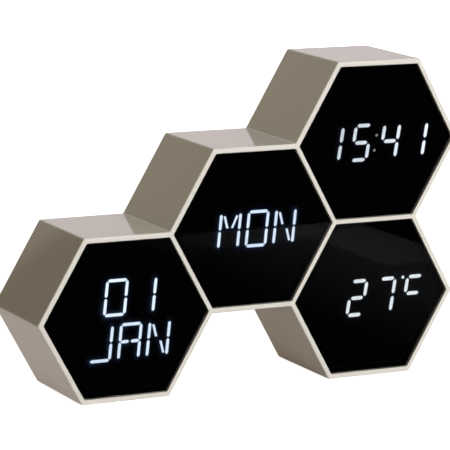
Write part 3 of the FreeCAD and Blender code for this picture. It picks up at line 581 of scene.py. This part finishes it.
def join(pieces: list[Piece], name: str) -> Piece:
    """Joins pieces into one that keeps them as separate shells.

    Args:
        pieces: The pieces.
        name: Name of the joined piece.

    Returns:
        The joined piece.
    """
    only(*pieces)
    if len(pieces) > 1:
        bpy.ops.object.join()
    joined = bpy.context.object
    joined.name = name
    return joined


def copy_to(piece: Piece, shift: Vector) -> Piece:
    """Copies a piece with its own mesh and moves the copy.

    Args:
        piece: What is copied.
        shift: How far the copy moves.

    Returns:
        The copy, with its place in its mesh.
    """
    only(piece)
    bpy.ops.object.duplicate(linked=False)
    copy = bpy.context.object
    copy.location = shift
    settle(copy)
    return copy


def copy_node(node: str, name: str) -> Piece:
    """Copies a node of the frame as a mesh of whole faces that can be shaped further.

    Args:
        node: The node's name.
        name: Name of the copy.

    Returns:
        The copy, with its doubles merged and its flat faces joined.
    """
    copy = bpy.data.objects.new(name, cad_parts[node].data.copy())
    bpy.context.scene.collection.objects.link(copy)
    with editing(copy):
        bpy.ops.mesh.select_all(action="SELECT")
        bpy.ops.mesh.customdata_custom_splitnormals_clear()
        bpy.ops.mesh.remove_doubles(threshold=MERGE_BELOW)
        bpy.ops.mesh.dissolve_limited(angle_limit=FLAT_BELOW)
        bpy.ops.mesh.normals_make_consistent(inside=False)
    return copy


def dress(node: str, finish: Finish) -> None:
    """Gives a node of the frame its finish.

    Args:
        node: The node's name.
        finish: What it is made of.
    """
    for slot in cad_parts[node].material_slots:
        slot.material = finish.material()
    log.info("dressed %s as %s", node, finish.name)


def fit(piece: Piece, body: str, slot: str, finish: Finish, *nodes: str) -> None:
    """Smooths, dresses and mounts a finished piece.

    Args:
        piece: The piece, with its place in its mesh.
        body: The body that it rides on.
        slot: The record's material slot for the piece; not used.
        finish: What it is made of; a piece that brings its own materials keeps them.
        nodes: The nodes that it stands for.
    """
    if not any(piece.data.materials):
        piece.data.materials.clear()
        piece.data.materials.append(finish.material())
    only(piece)
    bpy.ops.object.shade_smooth_by_angle(angle=SMOOTH_BELOW)
    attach(piece, body)
    if nodes:
        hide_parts(*nodes)
    log.info("built %s on %s as %s, %d faces", piece.name, body, finish.name, len(piece.data.polygons))


@dataclass
class Display:
    """One cell's display: its pane, its film, its lit bars and what lies behind them.

    Attributes:
        cell: The cell it belongs to.
        glow: Finish of its lit bars.
        glow_slot: The record's slot for them.
        haze: Finish of its film.
        pane_corner: Rounding of the pane's six corners.
        pane_edge: Bevel along the pane's edges.
        film_across: The film from flat to flat.
        film_gap: From the pane's rear face to the film.
        film_thickness: Thickness of the film.
        bar_stand: How far the bars' rims stand out of the film.
        bar_edge: Width of the slope along the bars' front edges.
        patch_margin: How far the painted glow reaches round the bars' box.
        patch_step: Spacing of the points that carry the painted glow.
        haze_reach: Distance at which the painted glow falls to about a third.
        haze_shift: How far the painted glow leans to the left.
    """

    cell: Cell
    glow: LitFill
    glow_slot: str
    haze: SpillFilm
    pane_corner: float = 0.7 * MM
    pane_edge: float = 0.25 * MM
    film_across: float = 93.1 * MM
    film_gap: float = 0.16 * MM
    film_thickness: float = 0.1 * MM
    bar_stand: float = 0.06 * MM
    bar_edge: float = 0.3 * MM
    patch_margin: float = 6.0 * MM
    patch_step: float = 0.6 * MM
    haze_reach: float = 0.9 * MM
    haze_shift: float = 0.35 * MM

    def hexagon(self, name: str, across: float, front: float, rear: float, corner: float,
                edge: float) -> Piece:
        """A hexagonal plate with level top and bottom edges, round corners and bevelled rims.

        Args:
            name: Name of the plate.
            across: From flat to flat.
            front: Depth of its front face.
            rear: Depth of its rear face.
            corner: Rounding of its corners.
            edge: Bevel of its rims.

        Returns:
            The plate.
        """
        radius = across / math.sqrt(3)
        plate = disc(name, self.cell.middle(), radius, front, rear, sides=6, turn=math.radians(30))
        with editing(plate):
            bevel(runs_deep, corner, segments=4)
            for depth in (front, rear):
                bevel(lies_at(depth), edge, segments=2)
                pick(Element.FACES, level_at(depth))
                bpy.ops.mesh.inset(thickness=edge, depth=0)
        return plate

    def build_pane(self) -> None:
        """The smoked pane, with polished rims."""
        low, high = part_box(self.cell.node("window"))
        pane = self.hexagon(self.cell.node("pane"), high.z - low.z, low.y, high.y, self.pane_corner,
                            self.pane_edge)
        fit(pane, BODY, "window_plastic", PANE, self.cell.node("window"))

    def film_front(self) -> float:
        """Depth of the film's front face."""
        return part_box(self.cell.node("window"))[1].y + self.film_gap

    def build_bars(self, node: str, finish: LitFill, slot: str) -> np.ndarray:
        """The fills of lit bars, which stand a little out of the film, with soft front edges.

        Args:
            node: The node they stand for.
            finish: Finish of the fills.
            slot: The record's slot for them.

        Returns:
            Start and end of every edge of the bars' outlines.
        """
        bars = copy_node(node, node.replace("_lit", "_glowing") if "_lit" in node else node + "_glowing")
        bars.data.materials.clear()
        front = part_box(node)[0].y
        outlines = self.outlines(bars, front)
        with editing(bars):
            pick(Element.FACES, level_at(front))
            bpy.ops.transform.translate(value=(0, self.film_front() - self.bar_stand - front, 0))
            bpy.ops.mesh.inset(thickness=self.bar_edge, depth=0)
            bpy.ops.transform.translate(value=(0, -self.bar_stand / 2, 0))
        fit(bars, BODY, slot, finish, node)
        return outlines

    def outlines(self, bars: Piece, front: float) -> np.ndarray:
        """Start and end of every edge of the bars' front faces.

        Args:
            bars: The bars' mesh.
            front: Depth of their front faces.

        Returns:
            An array of edges, each with two points of X and Z.
        """
        places = [(vert.co.x, vert.co.y, vert.co.z) for vert in bars.data.vertices]
        edges = [[places[i] for i in edge.vertices] for edge in bars.data.edges]
        return np.array([
            [(a[0], a[2]), (b[0], b[2])] for a, b in edges
            if abs(a[1] - front) < SAME_PLACE and abs(b[1] - front) < SAME_PLACE
        ])

    def distances(self, points: np.ndarray, outlines: np.ndarray) -> np.ndarray:
        """Distance from each point to the nearest outline.

        Args:
            points: Points of X and Z.
            outlines: Edges, each with two points of X and Z.

        Returns:
            One distance for each point.
        """
        start, run = outlines[:, 0], outlines[:, 1] - outlines[:, 0]
        offset = points[:, None, :] - start[None, :, :]
        share = np.clip((offset * run).sum(-1) / (run * run).sum(-1), 0, 1)
        gap = offset - share[..., None] * run
        return np.sqrt((gap * gap).sum(-1)).min(-1)

    def build_film(self, outlines: np.ndarray) -> None:
        """The black film, whose middle patch carries a painted glow beside the lit bars.

        Args:
            outlines: Edges of the lit bars' front faces.
        """
        front = self.film_front()
        rear = front + self.film_thickness
        quarter = self.film_thickness / 4
        plate = self.hexagon(self.cell.node("backing"), self.film_across, front + quarter, rear,
                             self.pane_corner, quarter / 2)
        low = outlines.min((0, 1)) - self.patch_margin
        high = outlines.max((0, 1)) + self.patch_margin
        width, height = high - low
        bpy.ops.object.select_all(action="DESELECT")
        bpy.ops.mesh.primitive_grid_add(
            x_subdivisions=round(width / self.patch_step), y_subdivisions=round(height / self.patch_step),
            size=1, location=((low[0] + high[0]) / 2, front, (low[1] + high[1]) / 2),
            rotation=(math.pi / 2, 0, 0),
        )
        patch = bpy.context.object
        patch.scale = (width, height, 1)
        settle(patch)
        with editing(patch):
            bpy.ops.mesh.select_all(action="SELECT")
            bpy.ops.mesh.extrude_region_move(TRANSFORM_OT_translate={"value": (0, quarter * 2, 0)})
            pick(Element.FACES, lambda face: face.calc_center_median().y > front + quarter)
            bpy.ops.mesh.dissolve_faces()
            turn_outwards()
        film = join([plate, patch], self.cell.node("film"))
        places = np.array([vert.co[:] for vert in film.data.vertices])
        # Painted glow: emission on the film that fades with distance from the lit bars' outlines
        points = places[:, (0, 2)] + (self.haze_shift, 0)
        spill = np.exp(-self.distances(points, outlines) / self.haze_reach)
        edge = np.minimum(places[:, (0, 2)] - low, high - places[:, (0, 2)]).min(-1)
        spill *= np.clip(edge / self.patch_step, 0, 1)
        attribute = film.data.attributes.new(SPILL, "FLOAT", "POINT")
        attribute.data.foreach_set("value", spill.astype(np.float32))
        fit(film, BODY, "block_plastic", self.haze)

    def build(self) -> None:
        """Builds the pane, the bars and the film, and dresses the pieces behind them."""
        self.build_pane()
        outlines = self.build_bars(self.cell.node("bars_lit"), self.glow, self.glow_slot)
        if self.cell is Cell.TIME:
            self.build_bars("time_colon", COLON_GLOW, "lit_dim")
        self.build_film(outlines)
        behind = {"light_block": BLOCK_ABS, "bars_unlit": DARK_FILL, "board": BOARD, "ribbon": RIBBON}
        for part, finish in behind.items():
            dress(self.cell.node(part), finish)


@dataclass
class PushButton:
    """A dished button cap with its flange and stem, and a mark let into its face.

    Attributes:
        mark: The mark, which also names the button.
        cap_radius: Radius of the cap.
        stem_radius: Radius of the stem.
        stem_length: Length of the stem in front of the flange.
        flange_thickness: Thickness of the flange.
        rim_round: Rounding of the cap's rim.
        rim_width: Width of the ring round the dish.
        dish: Depth of the dish.
        dish_steps: Width of each of its slopes, and the share of its depth that it takes.
        stem_edge: Bevel of the stem's tip.
        flange_edge: Bevel of the flange's rear rim.
        mark_length: Length of the mark.
        mark_width: Width of its strokes.
        mark_depth: How deep it is let in.
        sides: How many sides stand for a circle.
    """

    mark: Mark
    cap_radius: float = 4.0 * MM
    stem_radius: float = 2.0 * MM
    stem_length: float = 2.1 * MM
    flange_thickness: float = 1.0 * MM
    rim_round: float = 0.55 * MM
    rim_width: float = 0.25 * MM
    dish: float = 0.3 * MM
    dish_steps: tuple[tuple[float, float], ...] = ((0.5 * MM, 0.7), (0.75 * MM, 0.3))
    stem_edge: float = 0.25 * MM
    flange_edge: float = 0.125 * MM
    mark_length: float = 3.2 * MM
    mark_width: float = 0.8 * MM
    mark_depth: float = 0.25 * MM
    sides: int = 64

    def node(self) -> str:
        """Name of the button's node, which is its body's name too."""
        return self.mark.value + "_button"

    def cutters(self, middle: Vector, floor: float, top: float) -> list[Piece]:
        """The shapes that the mark takes out of the cap.

        Args:
            middle: Middle of the cap.
            floor: Depth of the mark's floor along Y.
            top: A depth clear behind the cap's face.

        Returns:
            The cutters.
        """
        long, wide = self.mark_length, self.mark_width
        if self.mark is Mark.DOT:
            return [disc("stroke", middle, wide, floor, top, self.sides // 2)]
        edge = (long - wide) / 2
        strokes = {
            Mark.MINUS: ((0, 0, long, wide),),
            Mark.PLUS: ((0, 0, long, wide), (0, 0, wide, long)),
            Mark.FRAME: (
                (0, edge, long, wide), (0, -edge, long, wide),
                (edge, 0, wide, long), (-edge, 0, wide, long),
            ),
        }
        return [
            stroke(middle + Vector((x, 0, z)), length, width, floor, top)
            for x, z, length, width in strokes[self.mark]
        ]

    def build(self) -> None:
        """Builds the button and inks the floor of its mark."""
        low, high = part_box(self.node())
        middle = (low + high) / 2
        middle.z = high.z - (high.x - low.x) / 2
        flange_front = low.y + self.stem_length
        cap = disc("cap", middle, self.cap_radius, flange_front, high.y, self.sides)
        with editing(cap):
            bevel(lies_at(high.y), self.rim_round, segments=4)
            pick(Element.FACES, level_at(high.y))
            bpy.ops.mesh.inset(thickness=self.rim_width, depth=0)
            for width, share in self.dish_steps:
                bpy.ops.mesh.inset(thickness=width, depth=0)
                bpy.ops.transform.translate(value=(0, -self.dish * share, 0))
        face = high.y - self.dish
        for cutter in self.cutters(middle, face - self.mark_depth, high.y + self.dish):
            cut(cap, cutter)
        flange_rear = flange_front + self.flange_thickness
        flange = disc("flange", middle, (high.x - low.x) / 2, flange_front, flange_rear, self.sides)
        with editing(flange):
            bevel(lies_at(flange_rear), self.flange_edge, segments=2)
        stem = disc("stem", middle, self.stem_radius, low.y, flange_front, self.sides // 2)
        with editing(stem):
            bevel(lies_at(low.y), self.stem_edge, segments=2)
        whole = join([stem, flange, cap], self.node() + "_cap")
        whole.data.materials.clear()
        whole.data.materials.append(BUTTON_ABS.material())
        whole.data.materials.append(MARK_INK.material())
        inked = face - self.mark_depth
        for polygon in whole.data.polygons:
            polygon.material_index = int(abs(polygon.center.y - inked) < SAME_PLACE)
        fit(whole, self.node(), "button_plastic", BUTTON_ABS, self.node())
        dress(self.mark.value + "_plunger", BLACK_ABS)


@dataclass
class PanScrews:
    """A group of like pan-head screws with a cross in the head and a threaded shank.

    Attributes:
        node: The node of the group.
        body: The body that it rides on.
        head_radius: Radius of the heads.
        head_height: Height of the heads.
        head_round: Rounding of the heads' rims.
        core_radius: Radius of the shank's core.
        tip_edge: Bevel of the shank's tip.
        thread_corner: From the middle of the thread's section to its three corners.
        pitch: Rise of the thread in one turn.
        cross_length: Length of the cross.
        cross_width: Width of its arms.
        cross_depth: How deep it is let in.
        sides: How many sides stand for a circle.
    """

    node: str
    body: str
    head_radius: float = 2.3 * MM
    head_height: float = 1.3 * MM
    head_round: float = 0.6 * MM
    core_radius: float = 0.8 * MM
    tip_edge: float = 0.4 * MM
    thread_corner: float = 0.36 * MM
    pitch: float = 1.0 * MM
    cross_length: float = 2.6 * MM
    cross_width: float = 0.6 * MM
    cross_depth: float = 0.8 * MM
    sides: int = 24

    def places(self) -> list[Vector]:
        """Finds the screws by the tops of their heads.

        Returns:
            The middle of each head's top.
        """
        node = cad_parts[self.node]
        points = np.array([vert.co[:] for vert in node.data.vertices])
        top = points[:, 1].max()
        heads = points[points[:, 1] > top - SAME_PLACE][:, (0, 2)]
        found: list[np.ndarray] = []
        groups: list[list[np.ndarray]] = []
        for point in heads:
            near = [i for i, spot in enumerate(found) if np.hypot(*(spot - point)) < 2 * self.head_radius]
            if near:
                groups[near[0]].append(point)
            else:
                found.append(point)
                groups.append([point])
        middles = [(np.min(group, axis=0) + np.max(group, axis=0)) / 2 for group in groups]
        return [Vector((middle[0], top, middle[1])) for middle in middles]

    def build_thread(self, middle: Vector, front: float, rear: float) -> Piece:
        """The thread, a triangle carried round the shank.

        Args:
            middle: A point on the screw's axis.
            front: Depth at which the thread ends.
            rear: Depth at which it starts.

        Returns:
            The thread.
        """
        turns = (rear - front - self.pitch) / self.pitch
        bpy.ops.object.select_all(action="DESELECT")
        bpy.ops.mesh.primitive_circle_add(vertices=3, radius=self.thread_corner, fill_type="NOTHING",
                                          location=(self.core_radius, 0, 0),
                                          rotation=(math.pi / 2, math.pi / 2, 0))
        thread = bpy.context.object
        settle(thread)
        helix = thread.modifiers.new("helix", "SCREW")
        helix.axis = "Z"
        helix.angle = turns * 2 * math.pi
        helix.screw_offset = turns * self.pitch
        helix.steps = round(turns * self.sides / 2)
        helix.render_steps = helix.steps
        only(thread)
        bpy.ops.object.modifier_apply(modifier=helix.name)
        with editing(thread):
            bpy.ops.mesh.select_all(action="SELECT")
            bpy.ops.mesh.fill_holes(sides=4)
            turn_outwards()
        thread.rotation_euler = (math.pi / 2, 0, 0)
        thread.location = (middle.x, rear - self.pitch / 2, middle.z)
        settle(thread)
        return thread

    def build_one(self, middle: Vector, front: float) -> Piece:
        """One screw, with the top of its head at a place.

        Args:
            middle: Middle of the head's top.
            front: Depth of the screw's tip.

        Returns:
            The screw.
        """
        top = middle.y
        seat = top - self.head_height
        head = disc("head", middle, self.head_radius, seat, top, self.sides)
        with editing(head):
            bevel(lies_at(top), self.head_round, segments=4)
        floor = top - self.cross_depth
        for length, width in ((self.cross_length, self.cross_width), (self.cross_width, self.cross_length)):
            cut(head, stroke(middle, length, width, floor, top + self.head_height))
        core = disc("core", middle, self.core_radius, front, seat, self.sides // 2)
        with editing(core):
            bevel(lies_at(front), self.tip_edge, segments=1)
        return join([self.build_thread(middle, front, seat), core, head], "screw")

    def build(self) -> None:
        """Builds the group from one screw and its copies."""
        places = self.places()
        first = self.build_one(places[0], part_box(self.node)[0].y)
        copies = [copy_to(first, place - places[0]) for place in places[1:]]
        group = join([*copies, first], self.node + "_turned")
        group.data.materials.clear()
        fit(group, self.body, "screw_steel", ZINC, self.node)


@dataclass
class Feet:
    """The four rubber feet, each a disc with a ring groove in its sole.

    Attributes:
        radius: Radius of a foot.
        sole_round: Rounding of the sole's rim.
        groove_in: From the rim to the groove.
        groove_width: Width of the groove.
        groove_depth: Depth of the groove.
        sides: How many sides stand for a circle.
    """

    radius: float = 4.5 * MM
    sole_round: float = 0.35 * MM
    groove_in: float = 0.9 * MM
    groove_width: float = 0.7 * MM
    groove_depth: float = 0.4 * MM
    sides: int = 48

    def build(self) -> None:
        """Builds one foot and copies it to the other three places."""
        low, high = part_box("feet")
        x, y = high.x - self.radius, high.y - self.radius
        places = [Vector((side * x, end * y, 0)) for side in (-1, 1) for end in (-1, 1)]
        bpy.ops.object.select_all(action="DESELECT")
        bpy.ops.mesh.primitive_cylinder_add(vertices=self.sides, radius=self.radius, depth=high.z - low.z,
                                            location=(places[0].x, places[0].y, (low.z + high.z) / 2))
        foot = bpy.context.object
        settle(foot)
        with editing(foot):
            bevel(lies_at(low.z, axis=2), self.sole_round, segments=3)
            pick(Element.FACES, level_at(low.z, axis=2))
            bpy.ops.mesh.inset(thickness=self.groove_in, depth=0)
            bpy.ops.mesh.inset(thickness=self.groove_width / 4, depth=0)
            bpy.ops.transform.translate(value=(0, 0, self.groove_depth))
            bpy.ops.mesh.inset(thickness=self.groove_width / 2, depth=0)
            bpy.ops.mesh.inset(thickness=self.groove_width / 4, depth=0)
            bpy.ops.transform.translate(value=(0, 0, -self.groove_depth))
        copies = [copy_to(foot, place - places[0]) for place in places[1:]]
        fit(join([*copies, foot], "rubber_feet"), BODY, "foot_rubber", RUBBER, "feet")


@dataclass
class Shell:
    """The case and what closes it at the rear."""

    def build(self) -> None:
        """Dresses the moulded pieces and builds the screws and the feet."""
        dress("case", CASE_ABS)
        dress("rear_cover", COVER_ABS)
        dress("battery_door", COVER_ABS)
        dress("window_tapes", TAPE)
        PanScrews("cover_screws", BODY).build()
        PanScrews("door_screws", "battery_door").build()
        Feet().build()


@dataclass
class Controls:
    """What is worked or plugged in at the rear."""

    def build(self) -> None:
        """Builds the buttons and dresses the slider, the inlet and the coin cell's bay."""
        for mark in Mark:
            PushButton(mark).build()
        for node in ("button_switches", "alarm_switch_body", "alarm_slider", "power_inlet", "sounder",
                     "cell_holder"):
            dress(node, BLACK_ABS)
        dress("power_inlet_pin", NICKEL)
        dress("cell_clip", NICKEL)
        dress("backup_cell", CELL_STEEL)


@dataclass
class Electronics:
    """The main board, what sits on it, and what the cells share inside."""

    def build(self) -> None:
        """Dresses each inner piece in its own finish."""
        finishes = {
            "main_board": BOARD, "controller_chip": RESIN, "driver_chips": RESIN, "timing_crystal": CAN,
            "smoothing_capacitors": CAN, "board_sockets": NYLON, "ribbon_plugs": NYLON, "board_screws": ZINC,
            "segment_leds": LED, "temperature_sensor": RESIN, "sensor_lead": RIBBON,
        }
        for node, finish in finishes.items():
            dress(node, finish)


@dataclass
class PhotoCamera:
    """The camera at the photograph's viewing angle.

    Attributes:
        azimuth: Degrees from straight ahead, negative to the left.
        elevation: Degrees above the horizon.
        roll: Degrees of turn about the view's own axis.
        distance: From the aim to the lens.
        across: How far right of the frame's middle the aim lies.
        rise: How far above it the aim lies.
        focal_pixels: Focal length in pixels of the frame.
        frame_pixels: Side of the square frame.
        sensor_mm: Sensor width that the lens is given for.
    """

    azimuth: float = -28.02
    elevation: float = 10.94
    roll: float = 1.383
    distance: float = 1.8387
    across: float = 0.01904
    rise: float = -0.00233
    focal_pixels: float = 2846.9
    frame_pixels: int = 450
    sensor_mm: float = 36.0

    def aim(self) -> Vector:
        """Finds what the camera looks at.

        Returns:
            The middle of the weekday cell, in the plane of the case's front rim.
        """
        low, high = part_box("weekday_window")
        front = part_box("case")[0].y
        return Vector(((low.x + high.x) / 2, front, (low.z + high.z) / 2))

    def build(self) -> None:
        """Makes the camera and hands it to the scene."""
        azimuth, elevation, roll = (math.radians(a) for a in (self.azimuth, self.elevation, self.roll))
        back = Vector((
            math.sin(azimuth) * math.cos(elevation),
            -math.cos(azimuth) * math.cos(elevation),
            math.sin(elevation),
        ))
        level_right = Vector((0, 0, 1)).cross(back).normalized()
        level_up = back.cross(level_right)
        right = level_right * math.cos(roll) + level_up * math.sin(roll)
        up = level_up * math.cos(roll) - level_right * math.sin(roll)
        data = bpy.data.cameras.new("photo_camera")
        data.sensor_width = self.sensor_mm
        data.lens = self.focal_pixels / self.frame_pixels * self.sensor_mm
        camera = bpy.data.objects.new("photo_camera", data)
        place = self.aim() - right * self.across - up * self.rise + back * self.distance
        turn = Matrix((right, up, back)).transposed().to_4x4()
        camera.matrix_world = Matrix.Translation(place) @ turn
        bpy.context.scene.collection.objects.link(camera)
        bpy.context.scene.camera = camera


@dataclass(frozen=True)
class Card:
    """A flat card that only gloss mirrors, as a studio uses to shape a reflection.

    Attributes:
        name: Its name.
        low: Its lowest corner.
        high: Its highest corner.
        shade: How bright its left end looks in a reflection, 0 for black and 1 for white.
        right_shade: How bright its right end looks.
        tint: Its colour as sRGB hex.
    """

    name: str
    low: tuple[float, float, float]
    high: tuple[float, float, float]
    shade: float
    right_shade: float
    tint: str = "ffffff"

    def build(self) -> None:
        """Makes the card, unseen by the eye, by shadows and by soft light."""
        card = block(self.name, Vector(self.low), Vector(self.high))
        card.visible_camera = False
        card.visible_diffuse = False
        card.visible_shadow = False
        card.visible_transmission = False
        material = bpy.data.materials.new(self.name)
        material.use_nodes = True
        tree = material.node_tree
        tree.nodes.clear()
        place = add_node(tree, "TexCoord").outputs["Object"]
        across = add_node(tree, "SeparateXYZ", {"Vector": place}).outputs["X"]
        shade = add_node(tree, "MapRange", {
            "Value": across,
            "From Min": self.low[0],
            "From Max": self.high[0],
            "To Min": self.shade,
            "To Max": self.right_shade,
        })
        light = add_node(tree, "Emission", {"Color": linear(self.tint), "Strength": shade.outputs[0]})
        add_node(tree, "OutputMaterial", {"Surface": light.outputs[0]})
        card.data.materials.append(material)


@dataclass(frozen=True)
class Lamp:
    """A square soft lamp that faces the middle of the clock.

    Attributes:
        name: Its name.
        place: Where it stands.
        side: Side of its square.
        power: Its power in watts.
        colour: Its colour as sRGB hex.
    """

    name: str
    place: tuple[float, float, float]
    side: float
    power: float
    colour: str = "ffffff"

    def build(self) -> None:
        """Makes the lamp."""
        data = bpy.data.lights.new(self.name, "AREA")
        data.size = self.side
        data.energy = self.power
        data.color = linear(self.colour)[:3]
        lamp = bpy.data.objects.new(self.name, data)
        lamp.visible_glossy = False
        lamp.visible_camera = False
        low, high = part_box("case")
        lamp.location = self.place
        lamp.rotation_mode = "QUATERNION"
        lamp.rotation_quaternion = ((low + high) / 2 - Vector(self.place)).to_track_quat("-Z", "Y")
        bpy.context.scene.collection.objects.link(lamp)


@dataclass
class Studio:
    """The floor, the white surroundings, the soft lamps and the cards.

    Attributes:
        floor_side: Side of the square floor.
        floor_lift: How white the floor looks where no lamp reaches it.
        fill: Strength of the even light from all round.
        fill_colour: Its colour as sRGB hex.
        paper: The floor's own colour, linear.
        lamps: The soft lamps.
        cards: The cards that shape the reflections.
    """

    floor_side: float = 60.0
    floor_lift: float = 0.9
    fill: float = 0.234
    fill_colour: str = "ffedd6"
    paper: tuple[float, float, float, float] = (0.8, 0.79, 0.77, 1.0)
    lamps: tuple[Lamp, ...] = (
        Lamp("front_lamp", (0.62, -2.5, 0.52), 1.2, 75.0, "f2f4ff"),
        Lamp("rear_lamp", (1.25, 2.25, 0.42), 1.2, 36.0),
    )
    cards: tuple[Card, ...] = (
        Card("near_left_card", (-0.9, -0.505, 0.001), (-0.152, -0.036, 0.002), 0.4, 0.3),
        Card("near_card", (-0.152, -0.505, 0.001), (0.14, -0.036, 0.002), 0.0, 0.0),
        Card("near_right_card", (0.14, -0.45, 0.001), (0.285, -0.036, 0.002), 0.0, 0.3),
        Card("band_left_card", (0.14, -0.505, 0.001), (0.285, -0.45, 0.002), 0.05, 0.5),
        Card("band_card", (0.285, -0.505, 0.001), (0.355, -0.335, 0.002), 0.65, 0.45),
        Card("under_band_card", (0.285, -0.335, 0.001), (0.355, -0.036, 0.002), 0.3, 0.2),
        Card("far_card", (-1.5, -2.45, 0.001), (4.0, -0.505, 0.002), 0.0, 0.0),
        Card("right_card", (0.355, -0.505, 0.001), (4.0, -0.036, 0.002), 0.0, 0.0),
        Card("left_card", (-0.498, 0.9, 0.0), (-0.1, 0.91, 0.9), 0.53, 1.1, "fff6e6"),
        Card("far_left_card", (-1.1, 0.9, 0.0), (-0.498, 0.91, 0.9), 0.0, 0.0),
        Card("rear_card", (-0.1, -0.036, 0.001), (0.3, 0.6, 0.002), 0.26, 0.26, "ffd5cb"),
        Card("rear_left_card", (-0.7, -0.036, 0.001), (-0.1, 0.6, 0.002), 0.7, 0.7, "ffeee9"),
        Card("high_card", (0.1, -2.1, 1.4), (1.5, -0.9, 1.41), 5.0, 5.0),
        Card("top_card", (0.6, 3.0, 0.3), (3.0, 3.01, 1.6), 1.03, 0.79, "fff4f7"),
    )

    def seen_directly(self, tree: Tree) -> Socket:
        """Tells where the eye, a reflection or a clear piece shows the surroundings.

        Args:
            tree: The node tree that asks.

        Returns:
            A socket that is 1 there, and 0 where they light the object.
        """
        path = add_node(tree, "LightPath")
        shown = path.outputs["Is Camera Ray"]
        for ray in ("Is Glossy Ray", "Is Transmission Ray"):
            shown = add_node(tree, "Math", {0: shown, 1: path.outputs[ray]}, operation="MAXIMUM").outputs[0]
        return shown

    def build_world(self) -> None:
        """White surroundings to the eye, and an even fill light to the object."""
        world = bpy.data.worlds.new("white_surroundings")
        bpy.context.scene.world = world
        world.use_nodes = True
        tree = world.node_tree
        tree.nodes.clear()
        shown = self.seen_directly(tree)
        colour = add_node(tree, "Mix", {
            MIX_SHARE: shown, MIX_FIRST: linear(self.fill_colour), MIX_LAST: WHITE,
        }, data_type="RGBA")
        strength = add_node(tree, "MapRange", {"Value": shown, "To Min": self.fill, "To Max": 1.0})
        light = add_node(tree, "Background", {
            "Color": colour.outputs[MIX_RESULT], "Strength": strength.outputs[0],
        })
        add_node(tree, "OutputWorld", {"Surface": light.outputs[0]})

    def build_floor(self) -> None:
        """A pale floor that shows white and keeps the object's soft shadow."""
        bpy.ops.object.select_all(action="DESELECT")
        bpy.ops.mesh.primitive_plane_add(size=self.floor_side, location=(0, 0, 0))
        floor = bpy.context.object
        floor.name = "floor"
        material = bpy.data.materials.new("pale_floor")
        material.use_nodes = True
        tree = material.node_tree
        tree.nodes.clear()
        shown = self.seen_directly(tree)
        paper = add_node(tree, "BsdfDiffuse", {"Color": self.paper})
        strength = add_node(tree, "MapRange", {"Value": shown, "To Min": 0.0, "To Max": self.floor_lift})
        lift = add_node(tree, "Emission", {"Color": WHITE, "Strength": strength.outputs[0]})
        both = add_node(tree, "AddShader", {0: paper.outputs[0], 1: lift.outputs[0]})
        add_node(tree, "OutputMaterial", {"Surface": both.outputs[0]})
        floor.data.materials.append(material)

    def build(self) -> None:
        """Builds the surroundings, the floor, the lamps and the cards."""
        self.build_world()
        self.build_floor()
        for item in (*self.lamps, *self.cards):
            item.build()


def main() -> None:
    """Builds the scene and reports each piece."""
    logging.basicConfig(level=logging.INFO, format="%(message)s")
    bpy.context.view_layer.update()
    bpy.context.scene.view_settings.view_transform = "Standard"
    PhotoCamera().build()
    Studio().build()
    displays = (
        Display(Cell.DATE, DATE_GLOW, "lit_cool_white", DATE_HAZE),
        Display(Cell.WEEKDAY, DAY_GLOW, "lit_cool_white", DAY_HAZE),
        Display(Cell.TIME, TIME_GLOW, "lit_white", PALE_HAZE),
        Display(Cell.TEMPERATURE, TEMPERATURE_GLOW, "lit_white", PALE_HAZE),
    )
    for assembly in (Shell(), *displays, Controls(), Electronics()):
        assembly.build()
        log.info("finished %s", type(assembly).__name__)


if __name__ == "__main__":
    main()
